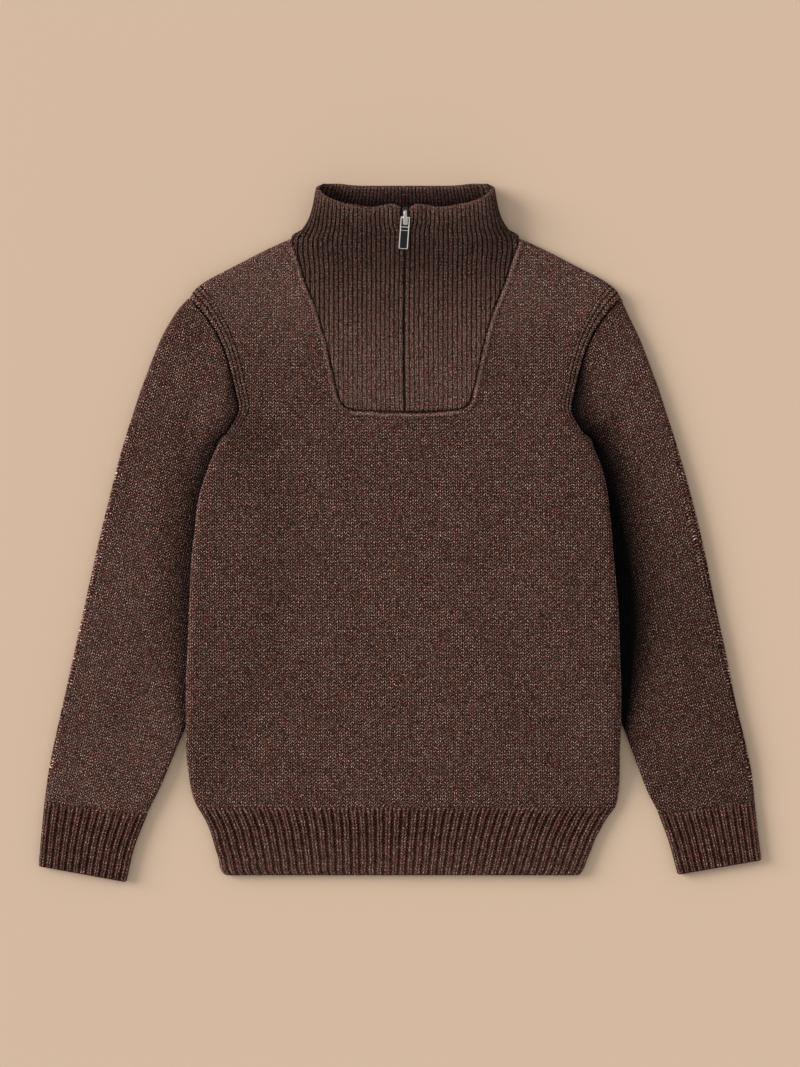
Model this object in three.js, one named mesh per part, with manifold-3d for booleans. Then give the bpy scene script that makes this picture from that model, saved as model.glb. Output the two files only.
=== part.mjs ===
// A child's quarter zip sweater in heavy wool jersey, laid flat with its front up.
// Millimetres. +X is the viewer's right, +Y runs from hem to collar, +Z is up off the surface.
// Right and left in the names are the wearer's, so the right sleeve lies on the -X side.

import * as THREE from "three";
import Module from "manifold-3d";
import { mergeVertices } from "three/addons/utils/BufferGeometryUtils.js";

const { lerp, clamp, smoothstep, degToRad } = THREE.MathUtils;

// Cloth and seams
const clothWall = 3; // thickness of the jersey and of a rib's plain base
const seamGap = 0.3; // between two sewn pieces
const centreX = 4.5; // the garment's middle line, which the zip follows

// Body, from the hem seam up to the armpits and the collar insert
const hemSeamY = -234;
const armpitY = 73;
const insertY = 105; // corners of the collar insert
const insertHalf = 48.5;
const insertDip = 2.5; // the insert's bottom seam sags this much in the middle
const neckDip = 7.5; // and the back neck seam this much
const layerGap = 2; // air between the front and the back panel
const sideSwell = 2.5; // more air along the sides and armholes
const sideSwellReach = 22;
const shoulderSwell = 1.5; // and along the shoulder seams
const shoulderSwellReach = 20;
const sideRoll = 7; // plan width over which a side turns down to its seam
const shoulderNormal = [0.46, 0.89]; // plan direction straight off a shoulder seam
const shoulderAtTip = [0.69, 0.72]; // along the armhole seam at the shoulder's tip
const shoulderAtNeck = [0.3, 0.954]; // and along the collar seam at its neck end

// Sleeves and cuffs
const sleeveHeight = 9.9;
const pressedHeight = 6.4; // where a sleeve's inner edge lies under the body
const pressedFromY = -215;
const pressedToY = -170;
const pressedFromShare = 0.35; // of the way from the outer edge to the inner one
const pressedToShare = 0.64;
const capBlendShare = 0.55; // from here the cap rises to the armhole seam
const bodyLift = 7.2; // height of the body's underside over that edge
const liftFadeFrom = 6; // inside the sleeve's edge, the body comes down between these distances
const liftFadeTo = 60;
const liftStartY = [-232, -170]; // it rises from the hem between these rows
const liftEndY = [80, 125]; // and comes down past the armpit between these
const cuffJoinHeight = 8.6;
const cuffHeight = 7.3;
const outerRoll = 5;
const innerRoll = 3.2;

// Collar
const collarRibs = 24; // in each half, counted from the zip to the side
const collarRibRelief = 0.9;
const collarBaseDrop = 0.4; // the rib's valleys lie this far under the jersey's face
const neckHalf = 96.5;
const neckY = 250.5;
const ribSpan = 97; // width of one half's ribs at the neck
const mouthRise = 17; // how far the front of the collar stands above the flat layers
const riseFromY = 205;
const riseToY = 276;
const riseBlend = 8;
const riseSlope = mouthRise / (riseToY - riseFromY);
const riseMiddle = 60; // it is full up to this half width
const riseSide = 97; // and gone at this one
const riseRimY = [250, 275]; // but nearer the rim it reaches the sides as well
const backRimY = 294.2;
const cornerRise = 2.4; // the back rim stands a little higher at its corners
const cornerHalf = 64;
const cornerReach = 12;

// Rib bands
const hemRibs = 47;
const hemRibRelief = 1.2;
const hemRibBase = 6.9;
const hemRoll = 5;
const cuffRibs = 13;
const cuffRibRelief = 1.1;
const cuffRoll = 4.2;
const bandRibProfile = [0, 1, 1]; // share of the relief at three places across a rib

// Zip
const slitHalf = 0.8;
const sliderSlitHalf = 4.2;
const sliderSlitFromY = 256;
const sliderSlitFullY = 262;
const tapeThickness = 0.9;
const tapeWidth = 11;
const tapeGap = 0.45; // under the collar's plain inside
const tapeBottomY = 104;
const tapeTopY = 271;
const sliderY = 269.9;
const sliderTilt = Math.atan(riseSlope);
const plateLength = 13;
const plateHeight = 4.6;
const plateTopHalf = 3.7;
const plateBottomHalf = 2.9;
const bridgeLength = 11;
const bridgeWidth = 4;
const bridgeHeight = 2.6;
const bridgeWall = 0.7;
const pivotY = -3.3; // from the slider's middle
const pivotZ = 0.95; // above the slider's top face
const pivotRadius = 0.65;
const pullSwing = degToRad(-4); // the pull hangs a little aslant
const pullLength = 27;
const pullHalf = 4;
const railWidth = 1.4;
const pullThickness = 1.5;
const panelThickness = 1;
const panelFrom = 5;
const pullEndBar = 1.3;

// Side edges of the body, and its rows of points from the hem seam to the armpits
const bodySides = [
  { y: -234, left: -172.5, right: 183.5 },
  { y: -227, left: -176, right: 185.5 },
  { y: -210, left: -179.5, right: 187 },
  { y: -185, left: -182, right: 187 },
  { y: -164, left: -182, right: 188 },
  { y: -131, left: -182, right: 188 },
  { y: -96, left: -180.5, right: 186.8 },
  { y: -68, left: -179.4, right: 185.9 },
  { y: -23, left: -177.2, right: 181.9 },
  { y: 2, left: -174.4, right: 179.8 },
  { y: 28, left: -171.3, right: 177.2 },
  { y: 50, left: -164.9, right: 173 },
  { y: 73, left: -155.5, right: 164.5 },
];

// Side edges of the hem rib
const hemSides = [
  { y: -292, left: -149.6, right: 153 },
  { y: -287, left: -153, right: 156.4 },
  { y: -278, left: -154.7, right: 159.8 },
  { y: -270, left: -157.3, right: 163.2 },
  { y: -261, left: -159.8, right: 166.6 },
  { y: -253, left: -162.4, right: 170.9 },
  { y: -244, left: -166.6, right: 176 },
  { y: -234, left: -172.5, right: 183.5 },
];
const hemRowY = [-292, -273, -253, -234.15];

// How far the body lies over the sleeve's inner edge
const sleeveCover = [
  { y: -164, width: 0 },
  { y: -125, width: 18 },
  { y: -83, width: 29 },
  { y: -41, width: 35 },
  { y: 0, width: 34 },
  { y: 39, width: 25 },
  { y: 73, width: 3 },
];

// Rows from the armpit to the shoulder seam. seam is the armhole, neck the collar seam and cap the
// sleeve's outer edge; halves are measured from the middle line. roll turns the last rows down to
// the shoulder seam: a row without it is flat, 0 is the seam itself.
const yokeRows = [
  { seamY: 73, seamHalf: 160, neckY: 105, neckHalf: 48.5 },
  { seamY: 87, seamHalf: 150, neckY: 111, neckHalf: 55, capY: 124.5, capHalf: 219.8 },
  { seamY: 103, seamHalf: 142, neckY: 125.5, neckHalf: 59, capY: 137.3, capHalf: 215 },
  { seamY: 117, seamHalf: 144, neckY: 146, neckHalf: 63.3, capY: 147.9, capHalf: 211 },
  { seamY: 130, seamHalf: 147, neckY: 159.5, neckHalf: 66.3, capY: 158.5, capHalf: 206.8 },
  { seamY: 146, seamHalf: 151, neckY: 171, neckHalf: 69.5, capY: 167.9, capHalf: 202.8 },
  { seamY: 160, seamHalf: 156, neckY: 182.5, neckHalf: 72.7, capY: 175.5, capHalf: 198.8 },
  { seamY: 171, seamHalf: 161.5, neckY: 197.5, neckHalf: 78.2, capY: 181.9, capHalf: 195.3 },
  { seamY: 181, seamHalf: 168, neckY: 212, neckHalf: 84.2, capY: 187.4, capHalf: 192.3 },
  { seamY: 187.5, seamHalf: 173.2, neckY: 229, neckHalf: 89.7, capY: 191.3, capHalf: 190 },
  { seamY: 194.3, seamHalf: 179.5, neckY: 243.8, neckHalf: 94.4, capY: 194.7, capHalf: 187.5 },
  { seamY: 197.6, seamHalf: 182.7, neckY: 248.6, neckHalf: 95.9, capY: 197.2, capHalf: 186, roll: 45 },
  { seamY: 199, seamHalf: 184, neckY: 250.5, neckHalf: 96.5, roll: 0 },
];
const lastYoke = yokeRows.length - 1;
const flatRoll = 90;

// Heights of the cap's underside and top at its outer edge, by row of the yoke
const capHeights = [
  { row: 1, low: 0, high: 9.9 },
  { row: 9, low: 0, high: 9.9 },
  { row: 10, low: 0.6, high: 10 },
  { row: 11, low: 2.6, high: 9.2 },
];

// The shoulder seam, from the collar out to its tip
const shoulderSeam = [
  { half: 96.5, y: 250.5 },
  { half: 101.5, y: 248.6 },
  { half: 120, y: 240.1 },
  { half: 136.5, y: 231.6 },
  { half: 153, y: 223.1 },
  { half: 169, y: 214.6 },
  { half: 180, y: 206 },
  { half: 184, y: 199 },
];

// Sleeve sections from the cuff's end to the armpit: outer edge, then inner edge.
// The cuff takes the first three and the sleeve starts from the third.
const rightSleeveRows = [
  { outX: -308.1, outY: -284.3, inX: -233.3, inY: -297.9 },
  { outX: -305.7, outY: -257.1, inX: -226.5, inY: -269 },
  { outX: -303, outY: -229.1, inX: -215.5, inY: -240.1 },
  { outX: -299.2, outY: -201.9, inX: -204.4, inY: -217.2 },
  { outX: -294.1, outY: -176.4, inX: -195.1, inY: -195.1 },
  { outX: -286.5, outY: -142.4, inX: -181.9, inY: -163.6 },
  { outX: -277.1, outY: -99.9, inX: -164, inY: -124.5 },
  { outX: -267.8, outY: -57.4, inX: -151.3, inY: -82.9 },
  { outX: -258.4, outY: -14.9, inX: -143.7, inY: -41.2 },
  { outX: -248.2, outY: 27.6, inX: -141.1, inY: 0.4 },
  { outX: -237.2, outY: 70.1, inX: -144.5, inY: 38.7 },
  { outX: -224.4, outY: 110.9, inX: -156, inY: 73 },
];
const leftSleeveRows = [
  { outX: 308.1, outY: -279.2, inX: 236.7, inY: -291.6 },
  { outX: 305, outY: -254.6, inX: 229.1, inY: -263.9 },
  { outX: 302.2, outY: -229.1, inX: 220.2, inY: -239.3 },
  { outX: 299.2, outY: -201.9, inX: 210.8, inY: -220.6 },
  { outX: 293.7, outY: -176.4, inX: 201, inY: -195.1 },
  { outX: 285.6, outY: -142.4, inX: 188.3, inY: -161.1 },
  { outX: 277.1, outY: -99.9, inX: 171.7, inY: -125.4 },
  { outX: 267.8, outY: -57.4, inX: 159.8, inY: -83.7 },
  { outX: 259.3, outY: -14.9, inX: 153, inY: -42.1 },
  { outX: 249.1, outY: 27.6, inX: 150.5, inY: -0.4 },
  { outX: 237.2, outY: 70.1, inX: 153, inY: 38.7 },
  { outX: 223.6, outY: 112.6, inX: 165, inY: 73 },
];
const cuffEndRow = 2;

// The collar from the neck up: half its whole width, and the half that lies flat before it turns
const collarWidths = [
  { y: 238, half: 97, flat: 97 },
  { y: 244, half: 97, flat: 94.4 },
  { y: 250.5, half: 96, flat: 89.5 },
  { y: 257, half: 88, flat: 79.5 },
  { y: 265.5, half: 82, flat: 72.5 },
  { y: 274, half: 78.8, flat: 68.3 },
  { y: 282, half: 77, flat: 65.5 },
  { y: 289, half: 75.8, flat: 63.5 },
  { y: 293, half: 74.4, flat: 62.5 },
  { y: 296, half: 71.2, flat: 61.5 },
];

// The front rim, from the zip (0) to the side (1)
const frontRim = [
  { at: 0, y: 275 },
  { at: 0.04, y: 277.3 },
  { at: 0.1, y: 278.3 },
  { at: 0.18, y: 277.2 },
  { at: 0.28, y: 275.5 },
  { at: 0.36, y: 276.2 },
  { at: 0.45, y: 277.6 },
  { at: 0.56, y: 279.4 },
  { at: 0.7, y: 283.4 },
  { at: 0.8, y: 287.2 },
  { at: 0.9, y: 291.4 },
  { at: 1, y: 294.4 },
];
const collarRows = [0, 0.16, 0.33, 0.51, 0.65, 0.8, 0.89, 0.925, 1]; // seam to rim

// Places across the back neck, shared by the back panel and the collar
const neckShares = [-1, -0.94, -0.84, -0.7, -0.45, -0.22, 0, 0.22, 0.45, 0.7, 0.84, 0.94, 1];
const collarBackAngles = [0, -30, -60, -90];

const sideAngles = [0, 30, 60, 90]; // columns in a body panel's turned side
const panelShares = [1 / 6, 2 / 6, 3 / 6, 4 / 6, 5 / 6, 1]; // and from there to the neck column

// Points round a sleeve's section: on its inner turn, across the top, on its outer turn, and back
const sleeveRing = [
  { turn: "inner", angle: 15 },
  { turn: "inner", angle: 55 },
  { turn: "inner", angle: 90 },
  { across: 1 / 6, angle: 90 },
  { across: 2 / 6, angle: 90 },
  { across: 3 / 6, angle: 90 },
  { across: 4 / 6, angle: 90 },
  { across: 5 / 6, angle: 90 },
  { turn: "outer", angle: 90 },
  { turn: "outer", angle: 45 },
  { turn: "outer", angle: 0 },
  { turn: "outer", angle: -45 },
  { turn: "outer", angle: -90 },
  { across: 2 / 3, angle: -90 },
  { across: 1 / 3, angle: -90 },
  { turn: "inner", angle: -90 },
  { turn: "inner", angle: -55 },
  { turn: "inner", angle: -15 },
];

const jersey = new THREE.MeshStandardMaterial({ color: 0x4d3830, roughness: 0.95, metalness: 0 });
const rib = new THREE.MeshStandardMaterial({ color: 0x43302a, roughness: 0.95, metalness: 0 });
const tape = new THREE.MeshStandardMaterial({ color: 0x251c19, roughness: 0.9, metalness: 0 });
const blackMetal = new THREE.MeshStandardMaterial({ color: 0x1b1b1d, roughness: 0.4, metalness: 0.8 });
const paleMetal = new THREE.MeshStandardMaterial({ color: 0xb8b2a6, roughness: 0.3, metalness: 1 });

// A smooth value between a table's rows: a cubic whose slope at each row is that of its neighbours.
function along(table, key, column, at) {
  const last = table.length - 1;
  const place = clamp(at, table[0][key], table[last][key]);
  let i = 0;
  while (i < last - 1 && table[i + 1][key] < place) i += 1;
  const slopeAt = (j) => {
    const a = table[Math.max(j - 1, 0)];
    const b = table[Math.min(j + 1, last)];
    return (b[column] - a[column]) / (b[key] - a[key]);
  };
  const span = table[i + 1][key] - table[i][key];
  const t = (place - table[i][key]) / span;
  const rise = t * t * (3 - 2 * t);
  return (
    lerp(table[i][column], table[i + 1][column], rise) +
    slopeAt(i) * span * t * (1 - t) * (1 - t) -
    slopeAt(i + 1) * span * t * t * (1 - t)
  );
}

// A value between a table's rows on straight lines.
function between(table, key, column, at) {
  const last = table.length - 1;
  let i = 0;
  while (i < last - 1 && table[i + 1][key] < at) i += 1;
  const t = (at - table[i][key]) / (table[i + 1][key] - table[i][key]);
  return lerp(table[i][column], table[i + 1][column], clamp(t, 0, 1));
}

// A closed wall from a grid of points on its outer and its inner face. Cells that aren't filled
// are left open, and every open edge is closed between the two faces. wrap joins the last column
// to the first.
function wallMesh(name, material, grid, { filled = () => true, wrap = false } = {}) {
  const columns = grid[0].length;
  const cellColumns = wrap ? columns : columns - 1;
  const cellRows = grid.length - 1;
  const isFilled = (r, c) => {
    if (r < 0 || r >= cellRows) return false;
    if (!wrap && (c < 0 || c >= cellColumns)) return false;
    return filled(r, (c + cellColumns) % cellColumns);
  };
  const outer = (r, c) => 2 * (r * columns + (c % columns));
  const inner = (r, c) => outer(r, c) + 1;
  const faces = [];
  const quad = (a, b, c, d) => faces.push(a, b, c, a, c, d);
  for (let r = 0; r < cellRows; r += 1) {
    for (let c = 0; c < cellColumns; c += 1) {
      if (!isFilled(r, c)) continue;
      quad(outer(r, c), outer(r, c + 1), outer(r + 1, c + 1), outer(r + 1, c));
      quad(inner(r, c), inner(r + 1, c), inner(r + 1, c + 1), inner(r, c + 1));
      if (!isFilled(r - 1, c)) quad(outer(r, c + 1), outer(r, c), inner(r, c), inner(r, c + 1));
      if (!isFilled(r + 1, c)) quad(outer(r + 1, c), outer(r + 1, c + 1), inner(r + 1, c + 1), inner(r + 1, c));
      if (!isFilled(r, c - 1)) quad(outer(r, c), outer(r + 1, c), inner(r + 1, c), inner(r, c));
      if (!isFilled(r, c + 1)) quad(outer(r + 1, c + 1), outer(r, c + 1), inner(r, c + 1), inner(r + 1, c + 1));
    }
  }
  const places = grid.flatMap((row) => row.flatMap((point) => [...point.outer, ...point.inner]));
  if (signedVolume(places, faces) < 0) faces.reverse();
  const geometry = new THREE.BufferGeometry();
  geometry.setAttribute("position", new THREE.Float32BufferAttribute(places, 3));
  geometry.setIndex(faces);
  return namedMesh(name, material, geometry);
}

function signedVolume(places, faces) {
  const at = (i) => new THREE.Vector3().fromArray(places, 3 * i);
  let sum = 0;
  for (let i = 0; i < faces.length; i += 3) {
    const a = at(faces[i]);
    const b = at(faces[i + 1]);
    const c = at(faces[i + 2]);
    sum += a.dot(b.cross(c)) / 6;
  }
  return sum;
}

function namedMesh(name, material, geometry) {
  geometry.computeVertexNormals();
  const mesh = new THREE.Mesh(geometry, material);
  mesh.name = name;
  return mesh;
}

// A wall point whose outer face turns through an angle: 90 faces up, 0 faces out along the plan
// direction and -90 faces down. relief raises the outer face only.
function wallPoint([x, y, z], [outX, outY], angle, relief = 0) {
  const level = Math.cos(degToRad(angle));
  const up = Math.sin(degToRad(angle));
  return {
    outer: [x + relief * level * outX, y + relief * level * outY, z + relief * up],
    inner: [x - clothWall * level * outX, y - clothWall * level * outY, z - clothWall * up],
  };
}

// How far the front stands up towards the collar's mouth.
function mouthRiseAt(half, y) {
  const past = y - riseFromY + riseBlend;
  let rise = 0;
  if (past > 0) rise = (riseSlope * past * past) / (4 * riseBlend);
  if (past > 2 * riseBlend) rise = Math.min(riseSlope * (past - riseBlend), mouthRise);
  const nearSide = 1 - smoothstep(half, riseMiddle, riseSide);
  return rise * lerp(nearSide, 1, smoothstep(y, ...riseRimY));
}

// Heights of the body's underside and of its front face at a place, edge being its distance from
// the side or the armhole.
function bodyHeights(x, y, edge) {
  const half = Math.abs(x - centreX);
  const covered = along(sleeveCover, "y", "width", y);
  const onSleeve = 1 - smoothstep(edge, covered + liftFadeFrom, covered + liftFadeTo);
  const alongSide = smoothstep(y, ...liftStartY) * (1 - smoothstep(y, ...liftEndY));
  const bottom = bodyLift * onSleeve * alongSide;
  const toShoulder = Math.max(0, (along(shoulderSeam, "half", "y", half) - y) * shoulderNormal[1]);
  const gap =
    layerGap +
    sideSwell * Math.exp(-((edge / sideSwellReach) ** 2)) +
    shoulderSwell * Math.exp(-((toShoulder / shoulderSwellReach) ** 2));
  return { bottom, top: bottom + 2 * clothWall + gap + mouthRiseAt(half, y) };
}

// Height of the outer face of the front or the back panel where it turns towards their seam.
function turnedFace({ bottom, top }, angle, isFront) {
  const middle = (bottom + top) / 2;
  const reach = middle - bottom - seamGap / 2;
  const turn = seamGap / 2 + reach * Math.sin(degToRad(angle));
  return isFront ? middle + turn : middle - turn;
}

// The rows of points that the front and the back panel share.
function panelRowList() {
  const lower = bodySides.map(({ y, left, right }, i) => {
    const share = (y - hemSeamY) / (armpitY - hemSeamY);
    const inset = i === 0 ? seamGap / 2 : 0;
    return {
      edgeY: y + inset,
      edgeLeft: left,
      edgeRight: right,
      neckY: lerp(hemSeamY, insertY, share) + inset,
      neckHalf: insertHalf,
      dip: insertDip * share,
      power: 2,
      bulge: 0,
      sideTurns: true,
      roll: flatRoll,
    };
  });
  const upper = yokeRows.slice(1).map((row, i) => ({
    edgeY: row.seamY,
    edgeLeft: centreX - row.seamHalf + seamGap / 2,
    edgeRight: centreX + row.seamHalf - seamGap / 2,
    neckY: row.neckY,
    neckHalf: row.neckHalf,
    dip: lerp(insertDip, neckDip, (i + 1) / lastYoke),
    power: 4,
    bulge: smoothstep(i + 1, 2, 10),
    sideTurns: false,
    roll: row.roll ?? flatRoll,
  }));
  return [...lower, ...upper];
}

// How far the shoulder seam bows out of the straight line between its ends, at a share of it.
function shoulderBow(share) {
  const tip = shoulderSeam[shoulderSeam.length - 1];
  const start = shoulderSeam[0];
  const half = lerp(tip.half, start.half, share);
  return along(shoulderSeam, "half", "y", half) - lerp(tip.y, start.y, share);
}

function panelRow(row, isFront) {
  const points = [];
  const neckInset = isFront ? seamGap / 2 : 0;
  const sidePoint = (isLeft, column) => {
    const sign = isLeft ? -1 : 1;
    const edgeX = isLeft ? row.edgeLeft : row.edgeRight;
    const neckX = centreX + sign * (row.neckHalf + neckInset);
    const width = Math.abs(neckX - edgeX);
    const turns = column < sideAngles.length;
    const angle = turns && row.sideTurns ? sideAngles[column] : 90;
    const edge = turns
      ? sideRoll * (1 - Math.cos(degToRad(sideAngles[column])))
      : lerp(sideRoll, width, panelShares[column - sideAngles.length]);
    const share = edge / width;
    const x = edgeX - sign * edge;
    const y = lerp(row.edgeY, row.neckY, share) + row.bulge * shoulderBow(share);
    const heights = bodyHeights(x, y, edge);
    const atShoulder = row.roll < flatRoll;
    const turn = atShoulder ? row.roll : angle;
    let off = shoulderNormal;
    if (column === 0) off = shoulderAtTip;
    if (share === 1) off = shoulderAtNeck;
    const out = atShoulder ? [sign * off[0], off[1]] : [sign, 0];
    const z = turnedFace(heights, turn, isFront);
    return wallPoint([x, y, z], out, isFront ? turn : -turn);
  };
  const middlePoint = (share) => {
    const x = centreX + share * row.neckHalf;
    const y = row.neckY - row.dip * (1 - Math.abs(share) ** row.power) - neckInset * (row.dip / insertDip);
    const heights = bodyHeights(x, y, Math.min(x - row.edgeLeft, row.edgeRight - x));
    return wallPoint([x, y, turnedFace(heights, 90, isFront)], [0, 1], isFront ? 90 : -90);
  };
  const sideColumns = sideAngles.length + panelShares.length;
  for (let c = 0; c < sideColumns; c += 1) points.push(sidePoint(true, c));
  for (const share of neckShares.slice(1, -1)) points.push(middlePoint(share));
  for (let c = sideColumns - 1; c >= 0; c -= 1) points.push(sidePoint(false, c));
  return points;
}

// One body panel. The front leaves the collar insert's place open.
function bodyPanel(name, isFront) {
  const grid = panelRowList().map((row) => panelRow(row, isFront));
  const firstMiddle = sideAngles.length + panelShares.length - 1;
  const pastMiddle = firstMiddle + neckShares.length - 1;
  const insertFrom = bodySides.length - 1;
  const filled = (r, c) => !isFront || r < insertFrom || c < firstMiddle || c >= pastMiddle;
  return wallMesh(name, jersey, grid, { filled });
}

// The hem's front: a rib band whose sides turn down to the side seams.
function hemFront() {
  const cells = hemRibs * bandRibProfile.length;
  const grid = hemRowY.map((y) => {
    const left = along(hemSides, "y", "left", y);
    const right = along(hemSides, "y", "right", y);
    return Array.from({ length: cells + 1 }, (_, i) => {
      const x = lerp(left, right, i / cells);
      const edge = Math.min(x - left, right - x);
      const angle = THREE.MathUtils.radToDeg(Math.acos(clamp(1 - edge / hemRoll, 0, 1)));
      const relief = hemRibRelief * bandRibProfile[i % bandRibProfile.length];
      const z = turnedFace({ bottom: 0, top: hemRibBase }, angle, true);
      return wallPoint([x, y, z], [Math.sign(x), 0], angle, relief);
    });
  });
  return wallMesh("hem_front", rib, grid);
}

function hemBack() {
  const interior = 8;
  const grid = hemRowY.map((y) => {
    const left = along(hemSides, "y", "left", y);
    const right = along(hemSides, "y", "right", y);
    const point = (edge, angle, sign) => {
      const x = sign < 0 ? left + edge : right - edge;
      const z = turnedFace({ bottom: 0, top: hemRibBase }, angle, false);
      return wallPoint([x, y, z], [sign, 0], -angle);
    };
    const turn = (sign) =>
      sideAngles.map((angle) => point(hemRoll * (1 - Math.cos(degToRad(angle))), angle, sign));
    const flat = Array.from({ length: interior - 1 }, (_, i) =>
      point(lerp(hemRoll, right - left - hemRoll, (i + 1) / interior), 90, -1),
    );
    return [...turn(-1), ...flat, ...turn(1).reverse()];
  });
  return wallMesh("hem_back", rib, grid);
}

// One cuff: a ring of rib whose top is raised and whose underside lies flat.
function cuff(name, rows) {
  const cells = cuffRibs * bandRibProfile.length;
  const grid = rows.slice(0, cuffEndRow + 1).map((row, i) => {
    const outer = new THREE.Vector2(row.outX, row.outY);
    const inner = new THREE.Vector2(row.inX, row.inY);
    const across = inner.clone().sub(outer);
    const width = across.length();
    across.normalize();
    const downSleeve = new THREE.Vector2(across.y, -across.x).multiplyScalar(Math.sign(outer.x));
    const shift = downSleeve.multiplyScalar(i === cuffEndRow ? -seamGap / 2 : 0);
    const point = (distance, angle, relief) => {
      const place = outer.clone().addScaledVector(across, distance).add(shift);
      const sign = distance < width / 2 ? -1 : 1;
      const z = (cuffHeight / 2) * (1 + Math.sin(degToRad(angle)));
      return wallPoint([place.x, place.y, z], [sign * across.x, sign * across.y], angle, relief);
    };
    const top = Array.from({ length: cells + 1 }, (_, j) => {
      const distance = (width * j) / cells;
      const edge = Math.min(distance, width - distance);
      const angle = THREE.MathUtils.radToDeg(Math.acos(clamp(1 - edge / cuffRoll, 0, 1)));
      return point(distance, angle, cuffRibRelief * bandRibProfile[j % bandRibProfile.length]);
    });
    const turn45 = cuffRoll * (1 - Math.cos(degToRad(45)));
    const under = [
      point(width - turn45, -45, 0),
      point(width - cuffRoll, -90, 0),
      point((width * 2) / 3, -90, 0),
      point(width / 3, -90, 0),
      point(cuffRoll, -90, 0),
      point(turn45, -45, 0),
    ];
    return [...top, ...under];
  });
  return wallMesh(name, rib, grid, { wrap: true });
}

// A point of a sleeve's section between its outer and inner edge. heights gives the section's
// underside and top at a share of the way from the outer edge; open sections end at the armhole
// instead of turning there.
function sleevePoint({ outer, inner, heights, isOpen }, spot) {
  const across = inner.clone().sub(outer);
  const width = across.length();
  across.normalize();
  const outerTurn = Math.min(outerRoll, 0.5 * width);
  const innerTurn = Math.min(innerRoll, 0.3 * width);
  let distance = lerp(width - innerTurn, outerTurn, spot.across);
  let out = [0, 0];
  let angle = spot.angle;
  const level = 1 - Math.cos(degToRad(spot.angle));
  if (spot.turn === "outer") {
    distance = outerTurn * level;
    out = [-across.x, -across.y];
  }
  if (spot.turn === "inner") {
    distance = width - innerTurn * level;
    out = [across.x, across.y];
    if (isOpen) angle = 90 * Math.sign(spot.angle);
  }
  const place = outer.clone().addScaledVector(across, distance);
  const { bottom, top } = heights(distance / width);
  const z = (bottom + top) / 2 + ((top - bottom) / 2) * Math.sin(degToRad(angle));
  const room = Math.min(1, (0.9 * width) / clothWall); // a narrow section's wall stays inside it
  return wallPoint([place.x, place.y, z], [room * out[0], room * out[1]], angle);
}

// The tube below the armpit: pressed flat where its inner edge lies under the body.
function tubeSections(rows) {
  return rows.slice(cuffEndRow).map((row, i) => {
    const inner = new THREE.Vector2(row.inX, row.inY);
    const outer = new THREE.Vector2(row.outX, row.outY);
    if (i === 0) {
      inner.y += seamGap / 2;
      outer.y += seamGap / 2;
    }
    const full = lerp(cuffJoinHeight, sleeveHeight, smoothstep(i, 0, 2));
    const pressed = smoothstep(row.inY, pressedFromY, pressedToY);
    const heights = (share) => ({
      bottom: 0,
      top: lerp(full, pressedHeight, pressed * smoothstep(share, pressedFromShare, pressedToShare)),
    });
    return { outer, inner, heights, isOpen: false };
  });
}

// The cap above the armpit, whose open edges follow the armhole seam up to the shoulder's tip.
function capSections(sign) {
  return yokeRows.slice(1, -1).map((row, i) => {
    const inner = new THREE.Vector2(centreX + sign * (row.seamHalf + seamGap / 2), row.seamY);
    const capCentre = centreX * ((i + 1) / lastYoke) ** 3;
    const outer = new THREE.Vector2(capCentre + sign * row.capHalf, row.capY);
    const body = bodyHeights(inner.x, row.seamY, 0);
    const roll = row.roll ?? flatRoll;
    const seam = { bottom: turnedFace(body, roll, false), top: turnedFace(body, roll, true) };
    const low = between(capHeights, "row", "low", i + 1);
    const high = between(capHeights, "row", "high", i + 1);
    const heights = (share) => ({
      bottom: lerp(low, seam.bottom, smoothstep(share, capBlendShare, 1)),
      top: lerp(high, seam.top, smoothstep(share, capBlendShare, 1)),
    });
    return { outer, inner, heights, isOpen: true };
  });
}

function sleeve(name, rows, sign) {
  const tube = tubeSections(rows);
  const sections = [...tube, ...capSections(sign)];
  const grid = sections.map((section) => sleeveRing.map((spot) => sleevePoint(section, spot)));
  const lastTube = tube.length - 1;
  const filled = (r, c) => c < sleeveRing.length - 1 || r < lastTube;
  return wallMesh(name, jersey, grid, { filled, wrap: true });
}

// Where a rib column of the collar starts: on the insert's bottom seam or on its slanted side.
function collarSeamPoint(rib) {
  const half = Math.min(rib, neckHalf);
  if (half <= insertHalf) {
    return { half, y: insertY - insertDip * (1 - (half / insertHalf) ** 2) + seamGap / 2 };
  }
  return { half: half - seamGap / 2, y: between(yokeRows, "neckHalf", "neckY", half) };
}

// Half width of the slit that the zip shows in, wider round the slider.
function slitAt(y) {
  return lerp(slitHalf, sliderSlitHalf, smoothstep(y, sliderSlitFromY, sliderSlitFullY));
}

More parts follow.
